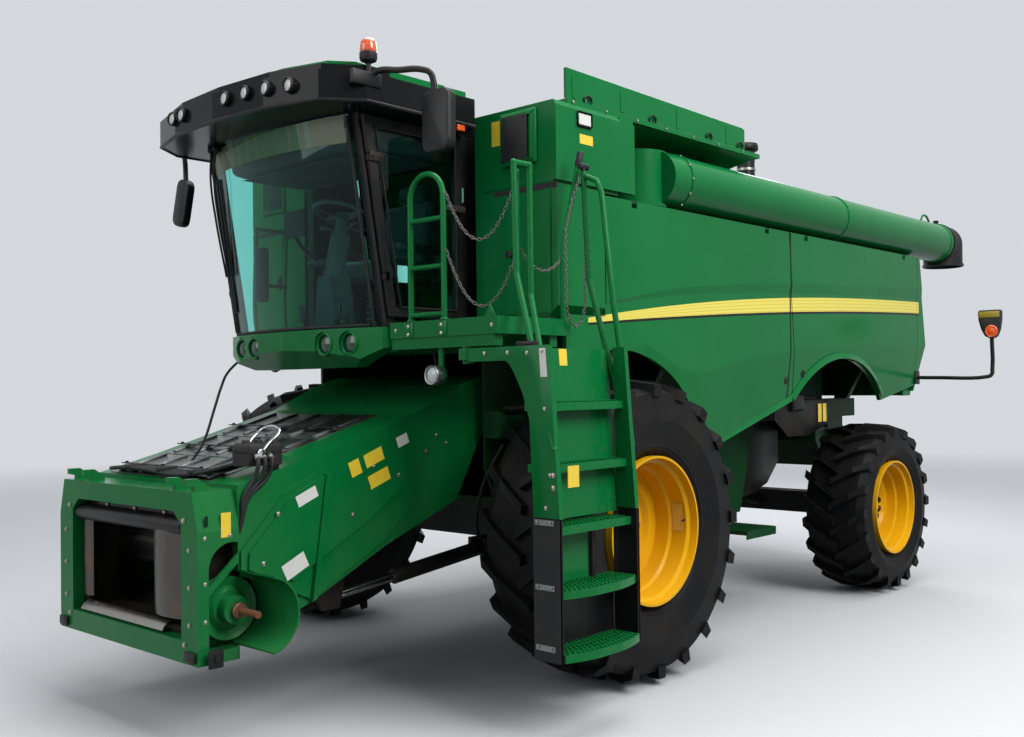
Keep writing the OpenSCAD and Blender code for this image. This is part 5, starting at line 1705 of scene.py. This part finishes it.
class BodyOperator(bpy.types.Operator):
    """Adds the body's latches, reflectors, labels, tank fittings and exhaust cap"""

    bl_idname = "harvester.body"
    bl_label = "Body fittings"

    def execute(self, context):
        self.panels()
        self.cabinets()
        self.tank()
        self.auger()
        self.exhaust()
        return {"FINISHED"}

    def panels(self):
        for side, name in SIDES:
            for end, x, z in (("front", -2.055, 1.747), ("rear", -2.311, 1.797)):
                body = f"panel_{end}_{name}"
                y = self.side_y(z) + 0.001
                ring = turned(
                    [(0.016, -0.004), (0.016, 0.002), (0.020, 0.005), (0.026, 0.003), (0.027, -0.004)],
                    at(x, side * y, z), (0, side, 0.0), 28,
                )
                core = drum(at(x, side * (y - 0.006), z), at(x, side * (y - 0.001), z), 0.016, 24)
                finish([ring, core], f"{body}_latch", "black", body)
            # a black strip set behind the gap between the panels: painted shade seen in the gap
            dark = side_block(side, (-2.12, 1.368, 1.62), (-2.04, 1.383, 2.80))
            finish(dark, f"panel_gap_shade_{name}", "black")
            seal = curved([
                [at(x, side * (y + 0.0015), z) for x in (-2.0865, -2.094, -2.1015)]
                for y, z in (
                    (1.470, 2.835), (1.470, 2.460), (1.460, 2.388), (1.460, 1.962), (1.4205, 1.615),
                )
            ], 0.002)
            finish(seal, f"panel_edge_seal_{name}", "rubber", "panel_rear_" + name, angle=40)
            self.flanges(side, name)
        reflectors, cases = [], []
        for side, name in SIDES:
            cases.append(side_block(side, (-0.155, 1.392, 1.868), (0.012, 1.403, 1.955), 0.004))
            for x0, x1 in ((-0.149, -0.075), (-0.070, 0.007)):
                reflectors.append(side_block(side, (x0, 1.402, 1.875), (x1, 1.408, 1.948), 0.002))
        finish(reflectors, "side_reflectors", "amber_plate")
        brackets = [
            side_block(side, (-0.12, 1.36, 1.945), (-0.03, 1.394, 2.122), 0.003) for side, name in SIDES
        ]
        finish([*cases, *brackets], "side_reflector_brackets", "black")

    def side_y(self, z):
        """Half the body's width below the crease."""
        return 1.460 - 0.118 * (1.95 - z)

    def flanges(self, side, name):
        """The flared lips along the rear arch and the front panel's lower edge."""
        middle = (REAR_WHEEL.x - FRONT_WHEEL.x + 0.608, 0.816)
        rows = []
        for i in range(25):
            angle = math.radians(45 + 90 * i / 24)
            row = []
            for radius, out in ((1.150, 0.002), (1.130, 0.008), (1.1015, 0.020)):
                x, z = middle[0] + radius * math.cos(angle), middle[1] + radius * math.sin(angle)
                row.append(at(x, side * (self.side_y(z) + out), z))
            rows.append(row)
        lip = curved(rows, 0.003)
        finish(lip, f"arch_lip_{name}", "green", "panel_rear_" + name, angle=60)
        start, end = Vector((-1.16, 0, 1.312)), Vector((-2.150, 0, 1.592))
        rows = []
        for i in range(13):
            place = start.lerp(end, i / 12)
            row = []
            for rise, out in ((0.045, 0.002), (0.024, 0.008), (0.002, 0.018)):
                z = place.z + rise
                row.append(at(place.x, side * (self.side_y(z) + out), z))
            rows.append(row)
        lip = curved(rows, 0.003)
        finish(lip, f"front_panel_lip_{name}", "green", "panel_front_" + name, angle=60)

    def cabinets(self):
        frames, plates = [], []
        for side, name in SIDES:
            case = side_block(side, (0.262, 1.4702, 3.206), (0.396, 1.478, 3.294), 0.012, 3)
            inset(case, (0, side, 0), (0.010, 0.0), (0.002, -0.003))
            frames.append(case)
            plates.append(side_block(side, (0.275, 1.475, 3.219), (0.383, 1.4795, 3.281), 0.001, 1))
        finish(frames, "side_marker_frames", "black")
        finish(plates, "side_marker_plates", "decal_white", slot="lamp")
        labels = [
            decal(at(0.309, 1.4705, 3.139), (-1, 0, 0), (0, 0, 1), 0.120, 0.055),
            decal(at(0.5805, 1.012, 3.205), (0, 1, 0), (0, 0, 1), 0.065, 0.145),
            decal(at(0.309, -1.4705, 3.139), (1, 0, 0), (0, 0, 1), 0.120, 0.055),
        ]
        finish(labels, "cabinet_labels", "decal_yellow")
        screens, vents, dark = [], [], []
        for side, name in SIDES:
            case = side_block(side, (0.579, 1.060, 2.992), (0.600, 1.335, 3.305), 0.010, 3)
            inset(case, (1, 0, 0), (0.030, 0.0), (0.002, -0.008))
            screens.append(case)
            vents.append(side_block(side, (0.590, 1.074, 3.015), (0.606, 1.275, 3.285), 0.006))
            for y in (1.10, 1.25):
                for z in (3.035, 3.265):
                    vents.append(bolt(at(0.606, side * y, z), (1, 0, 0), 0.006))
            y = side * 1.12
            dark.append(drum(at(0.590, y, 2.49), at(0.604, y, 2.49), 0.026, 28, 0.004))
            dark.append(block(at(0.603, y - 0.008, 2.466), at(0.612, y + 0.008, 2.514), 0.003))
            # the band under the upper box: a seam whose shadowed gap is drawn as a wide black band, painted
            # shadow
            dark.append(side_block(side, (0.570, 0.99, 2.836), (0.5815, 1.472, 2.866), 0.002, 1))
        finish(screens, "vent_frames", "green")
        finish(vents, "vent_screens", "plastic")
        finish(dark, "cabinet_latches_and_shaded_seam", "plastic")

    def tank(self):
        loops = []
        for side in (1, -1):
            for x in (0.25, -0.40, -1.05, -1.45):
                loops.append(pipe(
                    [(x - 0.03, side * 1.437, 3.360), (x - 0.03, side * 1.442, 3.395),
                     (x + 0.03, side * 1.442, 3.395), (x + 0.03, side * 1.437, 3.360)], 0.006,
                ))
        finish(loops, "tank_flap_loops", "black")
        for side, name in SIDES:
            y = side * 1.425
            rims = [drum(at(-1.50, y, 3.512), at(0.43, y, 3.536), 0.0085, 12)]
            for x in (-1.30, -0.70, -0.10, 0.36):
                rims.append(side_block(side, (x, 1.434, 3.375), (x + 0.03, 1.4375, 3.505), 0.0012, 1))
            finish(rims, f"tank_flap_ribs_{name}", "green", f"tank_flap_{name}")
        bolts = []
        for side in (1, -1):
            for i in range(7):
                bolts.append(bolt(at(0.40 - 0.31 * i, side * 1.452, 3.345), (0, side, 0), 0.007))
        finish(bolts, "tank_rim_bolts", "bolt")

    def auger(self):
        rings = []
        for x, width in ((-0.72, 0.03), (-2.95, 0.02), (-5.13, 0.03)):
            rings.append(turned(
                [(0.1775, 0.0), (0.186, 0.002), (0.186, width - 0.002), (0.1775, width)],
                at(x, AUGER_Y, AUGER_Z), (1, 0, 0), 56,
            ))
        finish(rings, "auger_flanges", "green", "auger")
        clamp = turned(
            [(0.1795, 0.0), (0.190, 0.003), (0.190, 0.032), (0.1795, 0.035)],
            at(-5.20, AUGER_Y, AUGER_Z), (1, 0, 0), 56,
        )
        ears = [
            block(at(-5.196, AUGER_Y - 0.02, 3.228), at(-5.168, AUGER_Y + 0.02, 3.262), 0.004),
            bolt(at(-5.182, 1.38, 3.248), (0, 1, 0), 0.009),
        ]
        low = turned(
            [(0.1795, 0.0), (0.188, 0.003), (0.188, 0.022), (0.1795, 0.025)],
            at(-5.345, AUGER_Y, 2.828), (0, 0, 1), 56,
        )
        finish([clamp, *ears, low], "spout_clamps", "black", "auger")
        one = bolt(at(-0.69, AUGER_Y, AUGER_Z + 0.181), (0, 0, 1), 0.008)
        bolts = copies(one, around(at(-0.69, AUGER_Y, AUGER_Z), "X", 12))
        finish(bolts, "auger_bolts", "bolt", "auger")
        eye = [(-4.82, 3.23), (-4.86, 3.27), (-4.95, 3.28), (-5.02, 3.23)]
        eye = pipe([(x, AUGER_Y, z) for x, z in eye], 0.010)
        finish(eye, "auger_lifting_eye", "green", "auger")

    def exhaust(self):
        place = at(-2.9, 0.64, 0)
        cap = turned(
            [(0.060, 3.60), (0.0765, 3.60), (0.0765, 3.685), (0.10, 3.692), (0.106, 3.70),
             (0.106, 3.735), (0.098, 3.748), (0.07, 3.7495), (0.066, 3.744), (0.062, 3.72)],
            place, (0, 0, 1), 48,
        )
        finish(cap, "exhaust_cap", "black", angle=40)
        bands = [
            turned(
                [(0.0755, z), (0.081, z + 0.003), (0.081, z + 0.022), (0.0755, z + 0.025)],
                place, (0, 0, 1), 48,
            )
            for z in (3.32, 3.52)
        ]
        finish(bands, "exhaust_bands", "steel", angle=40, slot="black_metal")


class RearOperator(bpy.types.Operator):
    """Adds the rear lamps, the plates by the rear wheels, the shoe's end and the tail's fittings"""

    bl_idname = "harvester.rear"
    bl_label = "Rear fittings"

    def execute(self, context):
        for side, name in SIDES:
            self.lamp_arm(side, name)
        self.side_plates()
        self.shaded_shoe_tail()
        self.tail()
        return {"FINISHED"}

    def lamp_arm(self, side, name):
        x = -4.48
        arm = pipe(
            [(x, side * 1.426, 1.76), (x, side * 1.60, 1.757), (x, side * 2.03, 1.757),
             (x, side * 2.082, 1.775), (x, side * 2.092, 1.83), (x, side * 2.092, 2.09)], 0.017,
        )
        foot = side_block(side, (x - 0.05, 1.427, 1.70), (x + 0.05, 1.441, 1.82), 0.004)
        arm = finish([arm, foot], f"rear_lamp_arm_{name}", "black", angle=40)
        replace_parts(arm, "rear_lamp_arms")
        outline = [
            (1.986, 2.318), (1.990, 2.245), (2.012, 2.165), (2.042, 2.108), (2.078, 2.090), (2.118, 2.090),
            (2.142, 2.108), (2.164, 2.165), (2.176, 2.245), (2.178, 2.318), (2.168, 2.334), (1.996, 2.334),
        ]
        head = plate([at(x - 0.028, side * y, z) for y, z in outline], 0.056 * side, 0.007)
        turn_outwards(head)
        reach = [vertex.co.x for vertex in head.data.vertices]
        shift = at(x, 0, 0).x - (min(reach) + max(reach)) / 2
        head.data.transform(Matrix.Translation((shift, 0, 0)))
        finish(head, f"rear_lamp_head_{name}", "plastic")
        strip = [
            side_block(side, (x + out, 1.996, 2.268), (x + out + 0.006, 2.168, 2.322), 0.002)
            for out in (0.026, -0.032)
        ]
        finish(strip, f"rear_lamp_strip_{name}", "decal_olive")
        lamps = []
        for out in (1, -1):
            face = at(x + 0.027 * out, side * 2.098, 2.150)
            lamps.append(turned(
                [(0, 0.016), (0.022, 0.014), (0.040, 0.007), (0.046, 0.010), (0.054, 0.004),
                 (0.054, 0.0), (0, 0.0)], face, (out, 0, 0), 36,
            ))
        finish(lamps, f"rear_lamp_lens_{name}", "orange", angle=60)

    def shaded_shoe_tail(self):
        """A black plate at the cleaning shoe's end: painted shade that closes the view in front of the rear
        axle.
        """
        outline = [
            (-2.459, 0.715), (-2.703, 1.418), (-3.45, 1.418), (-3.45, 1.04), (-3.25, 0.86), (-3.0, 0.79),
        ]
        shoe = plate([at(x, 0.60, z) for x, z in outline], 1.20, 0.004)
        finish(shoe, "shaded_shoe_tail", "black")

    def side_plates(self):
        """The dark plates and boxes beside the rear wheels, with their hangers and blank labels."""
        outline = [
            (-2.40, 1.585), (-3.30, 1.585), (-3.30, 1.38), (-2.95, 1.30), (-2.62, 1.30), (-2.40, 1.44),
        ]
        parts, hangers, labels = [], [], []
        for side, name in SIDES:
            parts.append(plate([at(x, side * 1.15, z) for x, z in outline], 0.012 * side, 0.003))
            for x in (-2.48, -2.90, -3.24):
                hangers.append(side_block(side, (x, 0.918, 1.50), (x + 0.05, 1.155, 1.56), 0.006))
            parts.append(side_block(side, (-2.80, 1.06, 1.50), (-2.62, 1.20, 1.64), 0.02, 3))
            for x in (-3.13, -3.215):
                labels.append(decal(
                    at(x, side * 1.1625, 1.478), (-side, 0, 0), (0, 0, 1), 0.060, 0.150,
                ))
        finish(parts, "rear_side_plates", "black")
        finish(hangers, "rear_plate_hangers", "deep")
        finish(labels, "rear_plate_labels", "decal_yellow")

    def tail(self):
        """Tail lamps, the grille of the hood and the steps up to it."""
        lamps, cases = [], []
        for side, name in SIDES:
            cases.append(side_block(side, (-4.590, 1.02, 1.80), (-4.535, 1.30, 1.91), 0.012, 3))
            for y0, y1 in ((1.035, 1.156), (1.164, 1.285))[::side]:
                lamps.append(side_block(side, (-4.598, y0, 1.813), (-4.588, y1, 1.897), 0.004))
        finish(cases, "tail_lamp_cases", "plastic")
        finish(lamps, "tail_lamp_lenses", "red")
        grille = block(at(-4.585, -0.55, 2.25), at(-4.535, 0.55, 2.70), 0.01)
        inset(grille, (-1, 0, 0), (0.03, 0.0), (0.0, -0.02))
        slats = [
            block(at(-4.580, -0.52, 2.285 + 0.045 * i), at(-4.555, 0.52, 2.297 + 0.045 * i), 0.002, 1)
            for i in range(9)
        ]
        finish([grille, *slats], "rear_grille", "plastic")
        steps = []
        for z in (1.78, 2.08, 2.38, 2.68):
            loop = [(-4.56, -0.98), (-4.60, -0.98), (-4.60, -0.68), (-4.56, -0.68)]
            steps.append(pipe([(x, y, z) for x, y in loop], 0.011, 3, False))
        finish(steps, "tail_steps", "green")


class UnderOperator(bpy.types.Operator):
    """Adds hoses, cable and brackets below the cab and along the chassis"""

    bl_idname = "harvester.under"
    bl_label = "Hoses and cable below"

    def execute(self, context):
        radius = context.scene.harvester_sizes.hose
        route = [(1.22, -0.66, 1.93), (1.34, -0.63, 1.84), (1.44, -0.545, 1.755), (1.56, -0.44, 1.61),
                 (1.70, -0.316, 1.445), (1.935, -0.09, 1.318)]
        cable = pipe(route, 0.008)
        cable.name = "header_cable"
        cable.data.materials.append(FINISHES["hose"])
        at(*route[0])
        at(*route[-1])
        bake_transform(cable)
        lines = []
        for side in (1, -1):
            for i in range(3):
                y = side * (0.93 + 0.03 * i)
                lines.append(pipe(
                    [(0.45, y, 1.60), (0.2, y, 1.605), (-1.0, y, 1.60), (-2.2, y, 1.603),
                     (-3.4, y, 1.60)],
                    radius * 0.8,
                ))
            lines.append(pipe(
                [(0.40, side * 0.87, 1.38), (0.50, side * 0.80, 1.15), (0.46, side * 0.70, 0.92),
                 (0.36, side * 0.62, 0.79)], radius,
            ))
        finish(lines, "chassis_hoses", "hose", angle=60)
        clips = [
            side_block(side, (x, 0.918, 1.578), (x + 0.03, 1.005, 1.618), 0.005)
            for x in (-0.5, -1.5, -2.6) for side, name in SIDES
        ]
        finish(clips, "hose_clips", "plastic")
        return {"FINISHED"}


CLASSES = (
    HarvesterLook, HarvesterSizes, StageOperator, PaintOperator, WheelOperator, CabOperator,
    DriverOperator, PlatformOperator, LadderOperator, FeederOperator, BodyOperator, RearOperator,
    UnderOperator,
)
STEPS = (
    "stage", "paint", "wheels", "cab", "driver", "platform", "ladder", "feeder", "body", "rear",
    "under",
)


class HarvesterPanel(bpy.types.Panel):
    """The steps that dress the harvester"""

    bl_idname = "VIEW3D_PT_harvester"
    bl_label = "Harvester"
    bl_space_type = "VIEW_3D"
    bl_region_type = "UI"
    bl_category = "Harvester"

    def draw(self, context):
        for group in (context.scene.harvester_look, context.scene.harvester_sizes):
            for name in group.__annotations__:
                self.layout.prop(group, name)
        for step in STEPS:
            self.layout.operator("harvester." + step)


def register():
    for cls in (*CLASSES, HarvesterPanel):
        bpy.utils.register_class(cls)
    bpy.types.Scene.harvester_look = bpy.props.PointerProperty(type=HarvesterLook)
    bpy.types.Scene.harvester_sizes = bpy.props.PointerProperty(type=HarvesterSizes)


def unregister():
    del bpy.types.Scene.harvester_sizes
    del bpy.types.Scene.harvester_look
    for cls in reversed((*CLASSES, HarvesterPanel)):
        bpy.utils.unregister_class(cls)


def main():
    register()
    for step in STEPS:
        getattr(bpy.ops.harvester, step)()
    clear_selection()


if __name__ == "__main__":
    main()
